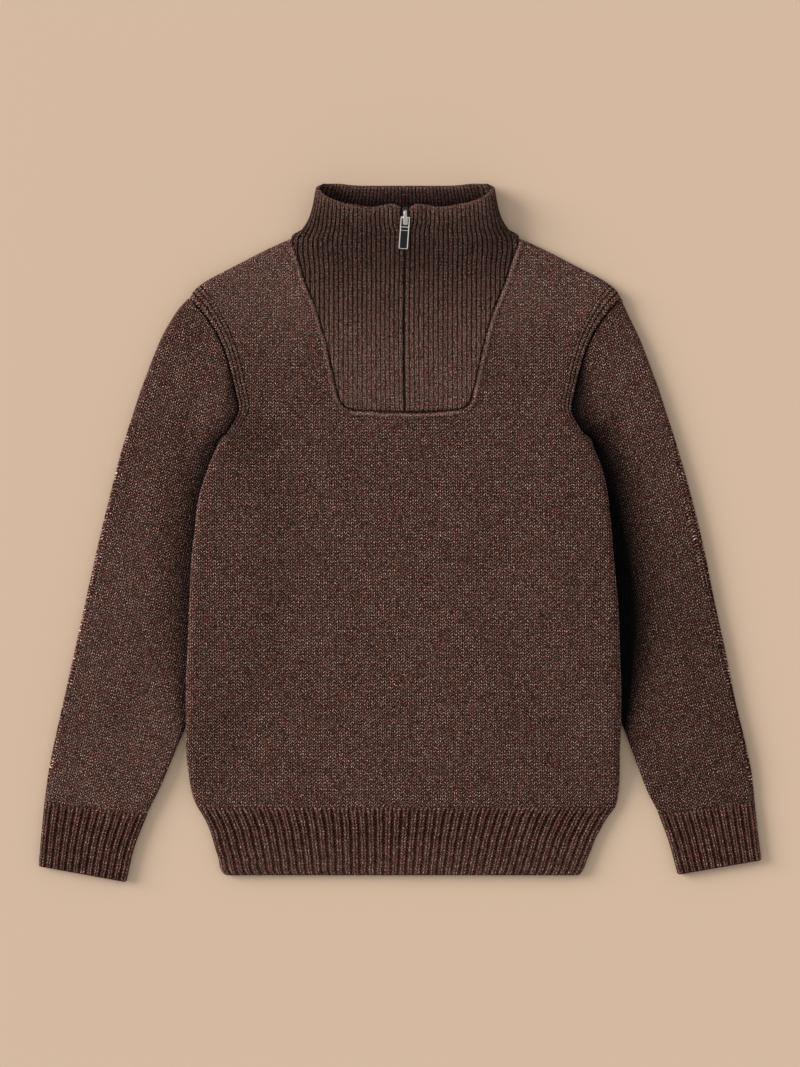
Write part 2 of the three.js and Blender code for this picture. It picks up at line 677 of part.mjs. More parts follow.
// A point on the front half of the collar. share runs from the zip to the side and up from the
// seam to the rim. Ribs run straight up from the insert and turn down at the collar's side.
function collarFrontPoint(sign, share, up, relief) {
  const start = collarSeamPoint(ribSpan * share);
  const rimY = along(frontRim, "at", "y", share);
  const y = lerp(start.y, rimY, up);
  const flat = along(collarWidths, "y", "flat", y);
  const turnWidth = Math.max(along(collarWidths, "y", "half", y) - flat, 0.01);
  const top = bodyHeights(centreX + flat, y, 1e3).top;
  const turnHeight = top / 2;
  const turnLength = (Math.PI / 2) * Math.sqrt((turnWidth ** 2 + turnHeight ** 2) / 2);
  const whole = y < collarWidths[0].y ? ribSpan : flat + turnLength;
  const arc = ribSpan * share + (whole - ribSpan) * share ** 3;
  let half = arc + slitAt(y) * (1 - share) ** 4;
  let angle = 90;
  let z = bodyHeights(centreX + arc, y, 1e3).top;
  if (arc > flat) {
    angle = 90 * (1 - Math.min((arc - flat) / turnLength, 1));
    half = flat + turnWidth * Math.cos(degToRad(angle));
    z = turnHeight * (1 + Math.sin(degToRad(angle)));
  }
  if (up === 0) {
    half = Math.max(start.half, slitHalf);
    const atSide = share === 1;
    const body = bodyHeights(centreX + half, y, 1e3);
    angle = atSide ? 0 : 90;
    z = atSide ? body.top / 2 : body.top;
  }
  z -= collarBaseDrop * Math.sin(degToRad(angle));
  return wallPoint([centreX + sign * half, y, z], [sign, 0], angle, relief);
}

// A point on the back of the collar, whose outer face lies on the surface.
function collarBackPoint(column, up) {
  const last = neckShares.length - 1;
  const share = neckShares[column];
  const seamY = neckY - neckDip * (1 - Math.abs(share) ** 4) + seamGap;
  const turns = collarBackAngles.length - 1;
  const fromSide = Math.min(column, last - column);
  const sign = column < last / 2 ? -1 : 1;
  const seamHalf = neckHalf * Math.abs(share);
  const rimY = backRimY + cornerRise * Math.exp(-(((seamHalf - cornerHalf) / cornerReach) ** 2));
  const y = lerp(seamY, rimY, up);
  if (up === 0) return wallPoint([centreX + sign * seamHalf, y, 0], [sign, 0], -90);
  const flat = along(collarWidths, "y", "flat", y);
  if (fromSide < turns) {
    const angle = collarBackAngles[fromSide];
    const turnWidth = along(collarWidths, "y", "half", y) - flat;
    const half = flat + turnWidth * Math.cos(degToRad(angle));
    const turnHeight = bodyHeights(centreX + flat, y, 1e3).top / 2;
    const z = turnHeight * (1 + Math.sin(degToRad(angle)));
    return wallPoint([centreX + sign * half, y, z], [sign, 0], angle);
  }
  const x = lerp(-flat, flat, (column - turns) / (last - 2 * turns));
  return wallPoint([centreX + x, y, 0], [sign, 0], -90);
}

// Placket halves and collar in one piece, from one edge of the zip round to the other.
function collar() {
  const cells = 2 * collarRibs;
  const grid = collarRows.map((up) => {
    const frontHalf = (sign) =>
      Array.from({ length: cells + 1 }, (_, i) =>
        collarFrontPoint(sign, i / cells, up, collarRibRelief * (i % 2)),
      );
    const back = neckShares.slice(1, -1).map((_, i) => collarBackPoint(i + 1, up));
    return [...frontHalf(-1), ...back, ...frontHalf(1).reverse()];
  });
  return wallMesh("collar", rib, grid);
}

// A tape sewn under one edge of the slit.
function zipTape(name, sign) {
  const rowsY = collarRows.slice(1, -1).map((up) => lerp(insertY - insertDip, frontRim[0].y, up));
  const drop = collarBaseDrop + clothWall + tapeGap;
  const grid = [tapeBottomY, ...rowsY, tapeTopY].map((y) => {
    const z = bodyHeights(centreX, y, 1e3).top - drop;
    return [seamGap / 2, tapeWidth].map((half) => ({
      outer: [centreX + sign * half, y, z],
      inner: [centreX + sign * half, y, z - tapeThickness],
    }));
  });
  return wallMesh(name, tape, grid);
}

const wasm = await Module();
wasm.setup();

// A three.js geometry as a solid that can be joined to another.
function solidOf(geometry) {
  const plain = geometry.clone();
  plain.deleteAttribute("normal");
  plain.deleteAttribute("uv");
  const merged = mergeVertices(plain, 1e-4);
  const vertProperties = merged.getAttribute("position").array;
  const triVerts = new Uint32Array(merged.index.array);
  return new wasm.Manifold(new wasm.Mesh({ numProp: 3, vertProperties, triVerts }));
}

function joined(geometries) {
  const whole = geometries.map(solidOf).reduce((sum, next) => sum.add(next));
  const { vertProperties, triVerts } = whole.getMesh();
  const geometry = new THREE.BufferGeometry();
  geometry.setAttribute("position", new THREE.BufferAttribute(vertProperties, 3));
  geometry.setIndex(new THREE.BufferAttribute(triVerts, 1));
  return geometry;
}

// A side profile drawn in (y, z) and given a width along x.
function sideProfile(shape, width, x) {
  const geometry = new THREE.ExtrudeGeometry(shape, { depth: width, bevelEnabled: false, curveSegments: 6 });
  geometry.rotateX(Math.PI / 2);
  geometry.rotateZ(Math.PI / 2);
  geometry.translate(x - width / 2, 0, 0);
  return geometry;
}

// The slider: a plate that narrows towards the closed teeth, and the bridge that holds the pull.
// Its origin is the middle of its top face.
function zipSlider() {
  const top = plateLength / 2;
  const corner = 1.6;
  const outline = new THREE.Shape();
  outline.moveTo(-plateBottomHalf + corner, -top);
  outline.lineTo(plateBottomHalf - corner, -top);
  outline.quadraticCurveTo(plateBottomHalf, -top, plateBottomHalf, -top + corner);
  outline.lineTo(plateTopHalf, top - 2 * corner);
  outline.quadraticCurveTo(plateTopHalf, top, plateTopHalf - 1.5 * corner, top);
  outline.lineTo(-plateTopHalf + 1.5 * corner, top);
  outline.quadraticCurveTo(-plateTopHalf, top, -plateTopHalf, top - 2 * corner);
  outline.lineTo(-plateBottomHalf, -top + corner);
  outline.quadraticCurveTo(-plateBottomHalf, -top, -plateBottomHalf + corner, -top);
  const plate = new THREE.ExtrudeGeometry(outline, {
    depth: plateHeight,
    bevelEnabled: false,
    curveSegments: 5,
  });
  plate.translate(0, 0, -plateHeight);

  const end = bridgeLength / 2;
  const sunk = -0.5;
  const rise = bridgeHeight - bridgeWall;
  const side = new THREE.Shape();
  side.moveTo(-end, sunk);
  side.lineTo(-end, rise * 0.6);
  side.quadraticCurveTo(-end, bridgeHeight, -end + 2, bridgeHeight);
  side.lineTo(end - 3, bridgeHeight);
  side.quadraticCurveTo(end, bridgeHeight, end, sunk);
  side.lineTo(end - 1.2, sunk);
  side.quadraticCurveTo(end - 1.2, rise, end - 3.5, rise);
  side.lineTo(-end + bridgeWall + 0.6, rise);
  side.quadraticCurveTo(-end + bridgeWall, rise, -end + bridgeWall, rise - 0.6);
  side.lineTo(-end + bridgeWall, sunk);
  side.closePath();
  const bridge = sideProfile(side, bridgeWidth, 0);
  return namedMesh("zip_slider", blackMetal, joined([plate, bridge]));
}

// The pull: two rails that turn on a pin under the bridge, and a panel between them.
// Its origin is the middle of the pin, and it hangs along -Y.
function zipPull() {
  const radius = pullThickness / 2;
  const railSide = new THREE.Shape();
  railSide.moveTo(-pullLength, -radius);
  railSide.lineTo(0, -radius);
  railSide.absarc(0, 0, radius, -Math.PI / 2, Math.PI / 2, false);
  railSide.lineTo(-pullLength, radius);
  railSide.closePath();
  const railX = pullHalf - railWidth / 2;
  const rails = [-1, 1].map((sign) => sideProfile(railSide, railWidth, sign * railX));
  const pin = new THREE.CylinderGeometry(pivotRadius, pivotRadius, 2 * railX, 12);
  pin.rotateZ(Math.PI / 2);
  const panelLength = pullLength - panelFrom - pullEndBar / 2;
  const panel = new THREE.BoxGeometry(2 * railX, panelLength, panelThickness);
  panel.translate(0, -panelFrom - panelLength / 2, 0);
  const endBar = new THREE.BoxGeometry(2 * pullHalf - 0.2, pullEndBar, pullThickness - 0.1);
  endBar.translate(0, -pullLength + pullEndBar / 2, 0);
  return namedMesh("zip_pull", paleMetal, joined([...rails, pin, panel, endBar]));
}

// Slider and pull on the slope of the collar, standing on the tapes.
function sliderGroup() {
  const group = new THREE.Group();
  const slider = zipSlider();
  const pull = zipPull();
  pull.position.set(0, pivotY, pivotZ);
  pull.rotation.z = pullSwing;
  group.add(slider, pull);
  const face = bodyHeights(centreX, sliderY, 1e3).top;
  const aboveFace = plateHeight - collarBaseDrop - clothWall;
  group.position.set(centreX, sliderY, face + aboveFace);
  group.rotation.x = sliderTilt;
  return group;
}

const sweater = new THREE.Group();
sweater.add(
  bodyPanel("front_panel", true),
  bodyPanel("back_panel", false),
  sleeve("sleeve_right", rightSleeveRows, -1),
  sleeve("sleeve_left", leftSleeveRows, 1),
  cuff("cuff_right", rightSleeveRows),
  cuff("cuff_left", leftSleeveRows),
  hemFront(),
  hemBack(),
  collar(),
  zipTape("zip_tape_right", -1),
  zipTape("zip_tape_left", 1),
  sliderGroup(),
);

// The origin is the middle of the box's underside.
sweater.updateMatrixWorld(true);
const box = new THREE.Box3().setFromObject(sweater, true);
const middle = box.getCenter(new THREE.Vector3());
sweater.position.set(-middle.x, -middle.y, -box.min.z);

const part = new THREE.Group();
part.add(sweater);
export default part;
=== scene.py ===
# Quarter zip sweater in heavy marled wool, laid flat with its front up.
# Lengths are millimetres until a mesh is made. The sleeve called right is the wearer's, on the -X side.
import math

import bpy
import numpy as np
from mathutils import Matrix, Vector


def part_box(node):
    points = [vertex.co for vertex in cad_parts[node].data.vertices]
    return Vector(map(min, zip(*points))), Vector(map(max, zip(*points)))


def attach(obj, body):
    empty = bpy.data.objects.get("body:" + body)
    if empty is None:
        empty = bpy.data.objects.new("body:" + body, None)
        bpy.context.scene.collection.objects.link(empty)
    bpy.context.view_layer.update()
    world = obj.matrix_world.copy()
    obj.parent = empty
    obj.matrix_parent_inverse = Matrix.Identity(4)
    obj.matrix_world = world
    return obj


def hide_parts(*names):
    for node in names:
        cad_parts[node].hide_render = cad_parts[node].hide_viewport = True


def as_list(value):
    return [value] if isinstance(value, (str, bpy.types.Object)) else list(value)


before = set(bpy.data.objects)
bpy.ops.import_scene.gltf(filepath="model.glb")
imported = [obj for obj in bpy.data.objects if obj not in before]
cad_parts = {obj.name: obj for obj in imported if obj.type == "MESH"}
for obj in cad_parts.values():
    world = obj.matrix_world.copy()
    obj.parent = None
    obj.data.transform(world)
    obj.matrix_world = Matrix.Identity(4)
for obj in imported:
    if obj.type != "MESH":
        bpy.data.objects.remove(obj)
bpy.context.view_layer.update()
print("frame loaded")

cloth = {
    "wall": 3.0,
    "seamGap": 0.3,
    "middleX": 4.5,
    "hemEndY": -292,
    "waleWidth": 3.9,  # one column of stitches
    "courseHeight": 2.7,  # one row of stitches
    "seamDip": 1.3,  # the surface sinks this much into a sewn seam
    "seamReach": 1.0,
    "edgeLeast": 0.12,  # share of the wall that is left at a rounded edge
    "waves": (150, 110, 78, 55, 40, 31),  # lengths of those that make laid cloth uneven
    "waveBend": 1.3,
    "waveBendRate": 0.37,
}
middleX = cloth["middleX"]
halfGap = cloth["seamGap"] / 2  # to either side of a seam
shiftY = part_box("hem_back")[0].y * 1000 - cloth["hemEndY"]  # from the drawing's y to the frame's
farIn = 1e3  # a distance from the side that is past all its effects


def ease(x, low, high):  # 0 up to low, 1 from high on, with no corner between
    t = np.clip((x - low) / (high - low), 0, 1)
    return t * t * (3 - 2 * t)


def mix(a, b, t):
    return a + (b - a) * t


def hump(x, reach):  # 1 at zero, falling off like a bell
    return np.exp(-((x / reach) ** 2))


def sine(degrees):
    return np.sin(np.radians(degrees))


def cosine(degrees):
    return np.cos(np.radians(degrees))


def perRow(values):  # one for each row of a grid
    return values[:, None]


def join(*parts, axis=0):  # end to end
    return np.concatenate(parts, axis)


def stack(*parts):  # side by side, as a last axis
    return np.stack(np.broadcast_arrays(*parts), -1)


# A smooth value between a table's rows, which are keyed by their first column: a cubic whose slope at
# each row is that between its neighbours.
def curveThrough(table, column, at):
    rows = np.array(table, float)
    keys, values = rows[:, 0], rows[:, column]
    last = len(keys) - 1
    before = np.maximum(np.arange(last + 1) - 1, 0)
    after = np.minimum(np.arange(last + 1) + 1, last)
    slopes = (values[after] - values[before]) / (keys[after] - keys[before])
    place = np.clip(at, keys[0], keys[-1])
    i = np.clip(np.searchsorted(keys, place) - 1, 0, last - 1)
    span = keys[i + 1] - keys[i]
    t = (place - keys[i]) / span
    straight = mix(values[i], values[i + 1], t * t * (3 - 2 * t))
    return straight + slopes[i] * span * t * (1 - t) ** 2 - slopes[i + 1] * span * t * t * (1 - t)


# Slow waves that make laid cloth uneven: a sum of crossed sines whose directions and lengths differ.
def unevenness(x, y, seed):
    rng = np.random.default_rng(seed)
    total = np.zeros(np.broadcast(x, y).shape)
    for length in cloth["waves"]:
        turn, phase = rng.uniform(0, math.tau, 2)
        along = (x * math.cos(turn) + y * math.sin(turn)) / length * math.tau
        bend = cloth["waveBend"] * np.sin(along * cloth["waveBendRate"] + turn)
        total = total + np.sin(along + phase + bend) * length / cloth["waves"][0]
    return total / 2


# A closed wall from a grid of points on its outer and its inner face. Cells that aren't filled stay
# open, and every open edge is closed between the two faces. wrap joins the last column to the first.
# uv has a column more than the points where the grid wraps; other cells may take a second uv grid.
# values holds named pairs of grids, for the outer and the inner face.
def wallMesh(name, outer, inner, uv, filled=None, wrap=False, bandUv=None, inBand=None, values=None):
    rows, columns = outer.shape[:2]
    cellColumns = columns if wrap else columns - 1
    if filled is None:
        filled = np.ones((rows - 1, cellColumns), bool)
    uvColumns = uv.shape[1]
    uvCount = rows * uvColumns

    def corner(r, c, face):
        return stack(face * rows * columns + r * columns + c % columns, r * uvColumns + c, 0)

    parts = []

    def addQuads(cells, corners):
        r, c = np.nonzero(cells)
        quad = np.stack([corner(r + dr, c + dc, face) for dr, dc, face in corners], 1)
        if inBand is not None:
            quad[:, :, 2] = inBand[r, c][:, None]
        parts.append(quad)

    around = np.pad(filled, 1)
    if wrap:
        around[1:-1, 0], around[1:-1, -1] = filled[:, -1], filled[:, 0]
    addQuads(filled, [(0, 0, 0), (0, 1, 0), (1, 1, 0), (1, 0, 0)])
    addQuads(filled, [(0, 0, 1), (1, 0, 1), (1, 1, 1), (0, 1, 1)])
    addQuads(filled & ~around[:-2, 1:-1], [(0, 1, 0), (0, 0, 0), (0, 0, 1), (0, 1, 1)])
    addQuads(filled & ~around[2:, 1:-1], [(1, 0, 0), (1, 1, 0), (1, 1, 1), (1, 0, 1)])
    addQuads(filled & ~around[1:-1, :-2], [(0, 0, 0), (1, 0, 0), (1, 0, 1), (0, 0, 1)])
    addQuads(filled & ~around[1:-1, 2:], [(1, 1, 0), (0, 1, 0), (0, 1, 1), (1, 1, 1)])
    quads = np.concatenate(parts)
    points = join(outer.reshape(-1, 3), inner.reshape(-1, 3))
    uvs = uv.reshape(-1, 2)
    if bandUv is not None:
        uvs = join(uvs, bandUv.reshape(-1, 2))
    flat = np.zeros(outer.shape[:2])
    values = {
        key: np.concatenate([(face + flat).ravel() for face in pair]) for key, pair in (values or {}).items()
    }
    cornerUv = uvs[quads[..., 1] + uvCount * quads[..., 2]]
    return meshFromQuads(name, points, quads[..., 0], cornerUv, values=values)


def signedVolume(points, quads):  # six times it, above 0 where the faces point outwards
    a, b, c, d = (points[quads[:, i]] for i in range(4))
    return np.sum(a * np.cross(b, c)) + np.sum(a * np.cross(c, d))


# Makes the object from points, four corners a face and each corner's place in the pattern. The faces
# are turned to point outwards if their signed volume is negative.
def meshFromQuads(name, points, quads, cornerUv=None, sharpAngle=52, values=None):
    if signedVolume(points, quads) < 0:
        quads = quads[:, ::-1]
        cornerUv = None if cornerUv is None else cornerUv[:, ::-1]
    used, quads = np.unique(quads, return_inverse=True)
    quads = quads.reshape(-1, 4)
    placed = (points[used] + [0, shiftY, 0]) * 0.001
    mesh = bpy.data.meshes.new(name)
    mesh.vertices.add(len(placed))
    mesh.vertices.foreach_set("co", placed.ravel())
    mesh.loops.add(quads.size)
    mesh.loops.foreach_set("vertex_index", quads.ravel().astype(np.int32))
    mesh.polygons.add(len(quads))
    mesh.polygons.foreach_set("loop_start", np.arange(0, quads.size, 4, dtype=np.int32))
    mesh.update(calc_edges=True)
    mesh.validate()
    if cornerUv is not None:
        layer = mesh.uv_layers.new(name="stitches")
        layer.data.foreach_set("uv", cornerUv.astype(np.float32).ravel())
    for key, value in (values or {}).items():
        layer = mesh.attributes.new(key, "FLOAT", "POINT")
        layer.data.foreach_set("value", value[used].astype(np.float32))
    mesh.polygons.foreach_set("use_smooth", np.ones(len(mesh.polygons), bool))
    mesh.set_sharp_from_angle(angle=math.radians(sharpAngle))
    made = bpy.data.objects.new(name, mesh)
    bpy.context.scene.collection.objects.link(made)
    return made


# A wall's outer and inner points where its outer face turns through an angle: 90 faces up, 0 faces
# out along the plan direction, -90 faces down. relief raises the outer face only.
def wallPoints(x, y, z, outX, outY, angle, relief=0.0, wall=cloth["wall"]):
    level, up = cosine(angle), sine(angle)
    x, y, z, outX, outY, level, up, relief = np.broadcast_arrays(x, y, z, outX, outY, level, up, relief)
    outer = stack(x + relief * level * outX, y + relief * level * outY, z + relief * up)
    inner = stack(x - wall * level * outX, y - wall * level * outY, z - wall * up)
    return outer, inner


# Rounds a wall's free edge: towards it both faces close on their middle along a circle.
def roundEdge(outer, inner, distance, radius):
    t = np.clip(distance / radius, 0, 1)
    openShare = np.maximum(np.sqrt(1 - (1 - t) ** 2), cloth["edgeLeast"])[..., None]
    centre, half = (outer + inner) / 2, (outer - inner) / 2
    return centre + half * openShare, centre - half * openShare


body = {
    "hemSeamY": -234,
    "armpitY": 73,
    "insertY": 105,  # corners of the collar insert
    "insertHalf": 48.5,
    "insertDip": 2.5,
    "neckDip": 7.5,
    "neckY": 250.5,
    "neckHalf": 96.5,
    "air": 2.0,  # between the front and the back
    "sideAir": 2.5,
    "sideAirReach": 22,
    "shoulderAir": 1.5,
    "shoulderAirReach": 20,
    "sideRoll": 7,
    "sideAirStart": (-236, -205),
    "lift": 7.2,  # over a sleeve
    "liftPast": (6, 60),  # beyond the sleeve's edge, where the lift ends
    "liftStart": (-232, -170),
    "liftEnd": (80, 125),
    "mouthRise": 17,  # the collar's front stands above the flat layers
    "riseFrom": 205,
    "riseTo": 276,
    "riseBlend": 8,
    "riseSides": (60, 97),  # half widths between which the rise ends, below the rim
    "riseLevel": (250, 275),  # where it becomes the same all across
    "unevenness": 0.75,
    "unevenSeed": 3,
    "rows": (74, 56, 10),  # below the insert, up the yoke, and at the shoulder's tip
    "lastEvenRow": 0.94,
    "tipStep": 10,
    "rollPerStep": 45,  # degrees that the panel turns in one step of the yoke, at the tip
    "middleColumns": 31,
    "bandStart": (0.2, 1.5),  # steps of the yoke between which the seam's relief starts
    "weltStart": (0, 0.6),
    "bandWidth": 9.0,  # raised columns beside the armhole seam
    "bandColumn": 3.0,
    "bandRipple": (0.35, 0.45),  # their mean height, and how far they wave about it
    "bandGroove": 0.7,  # painted shade between them
    "bandCrest": 0.3,  # painted light on them
    "bandSeam": (0.3, 1.0),  # painted shade in the seam beside them, and its reach
    # painted light on the shoulders, between these y
    "shoulderLight": 0.2,
    "shoulderLightY": (130, 215),
    "edgeLight": 0.5,  # painted light along a fold, where loose fibres catch it
    "edgeLightReach": 0.9,
    "farShade": 0.12,  # painted shade of the side away from the light
    "farShadeX": (20, 190),
    # y, right side, left side
    "sides": [
        (-234, -172.5, 183.5), (-227, -176, 185.5), (-210, -179.5, 187), (-185, -182, 187),
        (-164, -182, 188), (-131, -182, 188), (-96, -180.5, 186.8), (-68, -179.4, 185.9),
        (-23, -177.2, 181.9), (2, -174.4, 179.8), (28, -171.3, 177.2), (50, -164.9, 173),
        (73, -155.5, 164.5),
    ],
    # y, how far the body lies over the sleeve's inner edge
    "cover": [(-164, 0), (-125, 18), (-83, 29), (-41, 35), (0, 34), (39, 25), (73, 3)],
    # step, armhole y and half width, collar seam y and half width
    "yoke": [
        (0, 73, 160, 105, 48.5), (1, 87, 150, 111, 55), (2, 103, 142, 125.5, 59),
        (3, 117, 144, 146, 63.3), (4, 130, 147, 159.5, 66.3), (5, 146, 151, 171, 69.5),
        (6, 160, 156, 182.5, 72.7), (7, 171, 161.5, 197.5, 78.2), (8, 181, 168, 212, 84.2),
        (9, 187.5, 173.2, 229, 89.7), (10, 194.3, 179.5, 243.8, 94.4),
        (11, 197.6, 182.7, 248.6, 95.9), (12, 199, 184, 250.5, 96.5),
    ],
    # half width, y of the shoulder seam
    "shoulder": [
        (96.5, 250.5), (101.5, 248.6), (120, 240.1), (136.5, 231.6), (153, 223.1), (169, 214.6),
        (180, 206), (184, 199),
    ],
    "shoulderNormal": (0.46, 0.89),
    "normalAtTip": (0.69, 0.72),
    "normalAtNeck": (0.3, 0.954),
}
lastStep = body["yoke"][-1][0]


# How far the front stands up towards the collar's mouth: a parabola that runs into a straight slope,
# level near the sides of the neck until just under the rim.
def mouthRise(half, y):
    blend = body["riseBlend"]
    slope = body["mouthRise"] / (body["riseTo"] - body["riseFrom"])
    past = np.maximum(y - body["riseFrom"] + blend, 0)
    curved = slope * past ** 2 / (4 * blend)
    straight = np.minimum(slope * (past - blend), body["mouthRise"])
    rise = np.where(past > 2 * blend, straight, curved)
    return rise * mix(1 - ease(half, *body["riseSides"]), 1, ease(y, *body["riseLevel"]))


# Heights of the body's underside and of its front face, edge being the distance from the side or the
# armhole. The underside lifts over a sleeve; the air grows along the sides and the shoulders.
def bodyHeights(x, y, edge):
    half = np.abs(x - middleX)
    covered = curveThrough(body["cover"], 1, y)
    onSleeve = 1 - ease(edge - covered, *body["liftPast"])
    alongSide = ease(y, *body["liftStart"]) * (1 - ease(y, *body["liftEnd"]))
    bottom = body["lift"] * onSleeve * alongSide
    shoulderY = curveThrough(body["shoulder"], 1, half)
    toShoulder = np.maximum(0, (shoulderY - y) * body["shoulderNormal"][1])
    sideAir = body["sideAir"] * hump(edge, body["sideAirReach"]) * ease(y, *body["sideAirStart"])
    air = body["air"] + sideAir + body["shoulderAir"] * hump(toShoulder, body["shoulderAirReach"])
    return bottom, bottom + 2 * cloth["wall"] + air + mouthRise(half, y)


# Height of the front's face, well away from the sides, at a distance from its middle.
def frontTop(half, y):
    return bodyHeights(middleX + half, y, farIn)[1]


# Height of the outer face where a panel turns towards its seam with the other panel.
def turnedFace(bottom, top, angle, side):
    middle = (bottom + top) / 2
    return middle + side * (halfGap + (middle - bottom - halfGap) * sine(angle))


# The turn of a panel's face near the shoulder's tip, where the yoke's last steps bring it upright.
def tipTurn(step):
    return np.minimum(90, body["rollPerStep"] * (lastStep - step))


def seamDip(distance):
    return cloth["seamDip"] * hump(distance, cloth["seamReach"])


# How far the shoulder seam bows out of the straight line between its ends.
def shoulderBow(share):
    (neckHalf, neckY), (tipHalf, tipY) = body["shoulder"][0], body["shoulder"][-1]
    y = curveThrough(body["shoulder"], 1, mix(tipHalf, neckHalf, share))
    return y - mix(tipY, neckY, share)


# distances from a seam at which rows or columns lie beside it
nearSeam = np.array([16, 13, 10.5, 8.5, 7.2, 6.2, 5.4, 4.6, 3.9, 3.2, 2.6, 2.0, 1.5, 1.0, 0.6, 0.3, 0])

welt = {
    # height or painted shade, distance from the seam, reach
    "crest": (0.75, 3.0, 1.6),
    "hollow": (0.2, 6.2, 1.4),
    # painted shade in the seam and behind the welt, painted light on its crest
    "seamShade": (1.0, 0.0, 0.8),
    "crestLight": (0.5, 2.5, 1.1),
    "middleLight": (0.35, 2.5, 1.1),  # more painted light under the insert
    "middleLightEnds": 0.15,
    "hollowShade": (0.3, 5.6, 1.0),
    "wander": (0.45, 5, 31),  # of the painted shade, sideways: millimetres, closeness, seed
    "broken": (0.3, 6, 32),  # change of its strength, closeness, seed
    "strength": 0.72,
    "sideFade": (6, 20),  # widths between which the painted shade starts
}


def humpAt(distance, height, middle, reach):
    return height * hump(distance - middle, reach)


# The welt that the sewn-in insert pushes up beside its seam: its height, and its painted shade, which
# is painted shade in the seam, painted light on the welt and painted shade behind it.
def insertWelt(distance):
    height = humpAt(distance, *welt["crest"]) - humpAt(distance, *welt["hollow"])
    return height - seamDip(distance)


def insertShade(x, y, distance):
    (wander, close, seed), (change, closeChange, seedChange) = welt["wander"], welt["broken"]
    distance = distance + wander * unevenness(close * x, close * y, seed)
    broken = welt["strength"] + change * unevenness(closeChange * x, closeChange * y, seedChange)
    dark = broken * humpAt(distance, *welt["seamShade"]) - humpAt(distance, *welt["crestLight"])
    return dark + broken * humpAt(distance, *welt["hollowShade"])


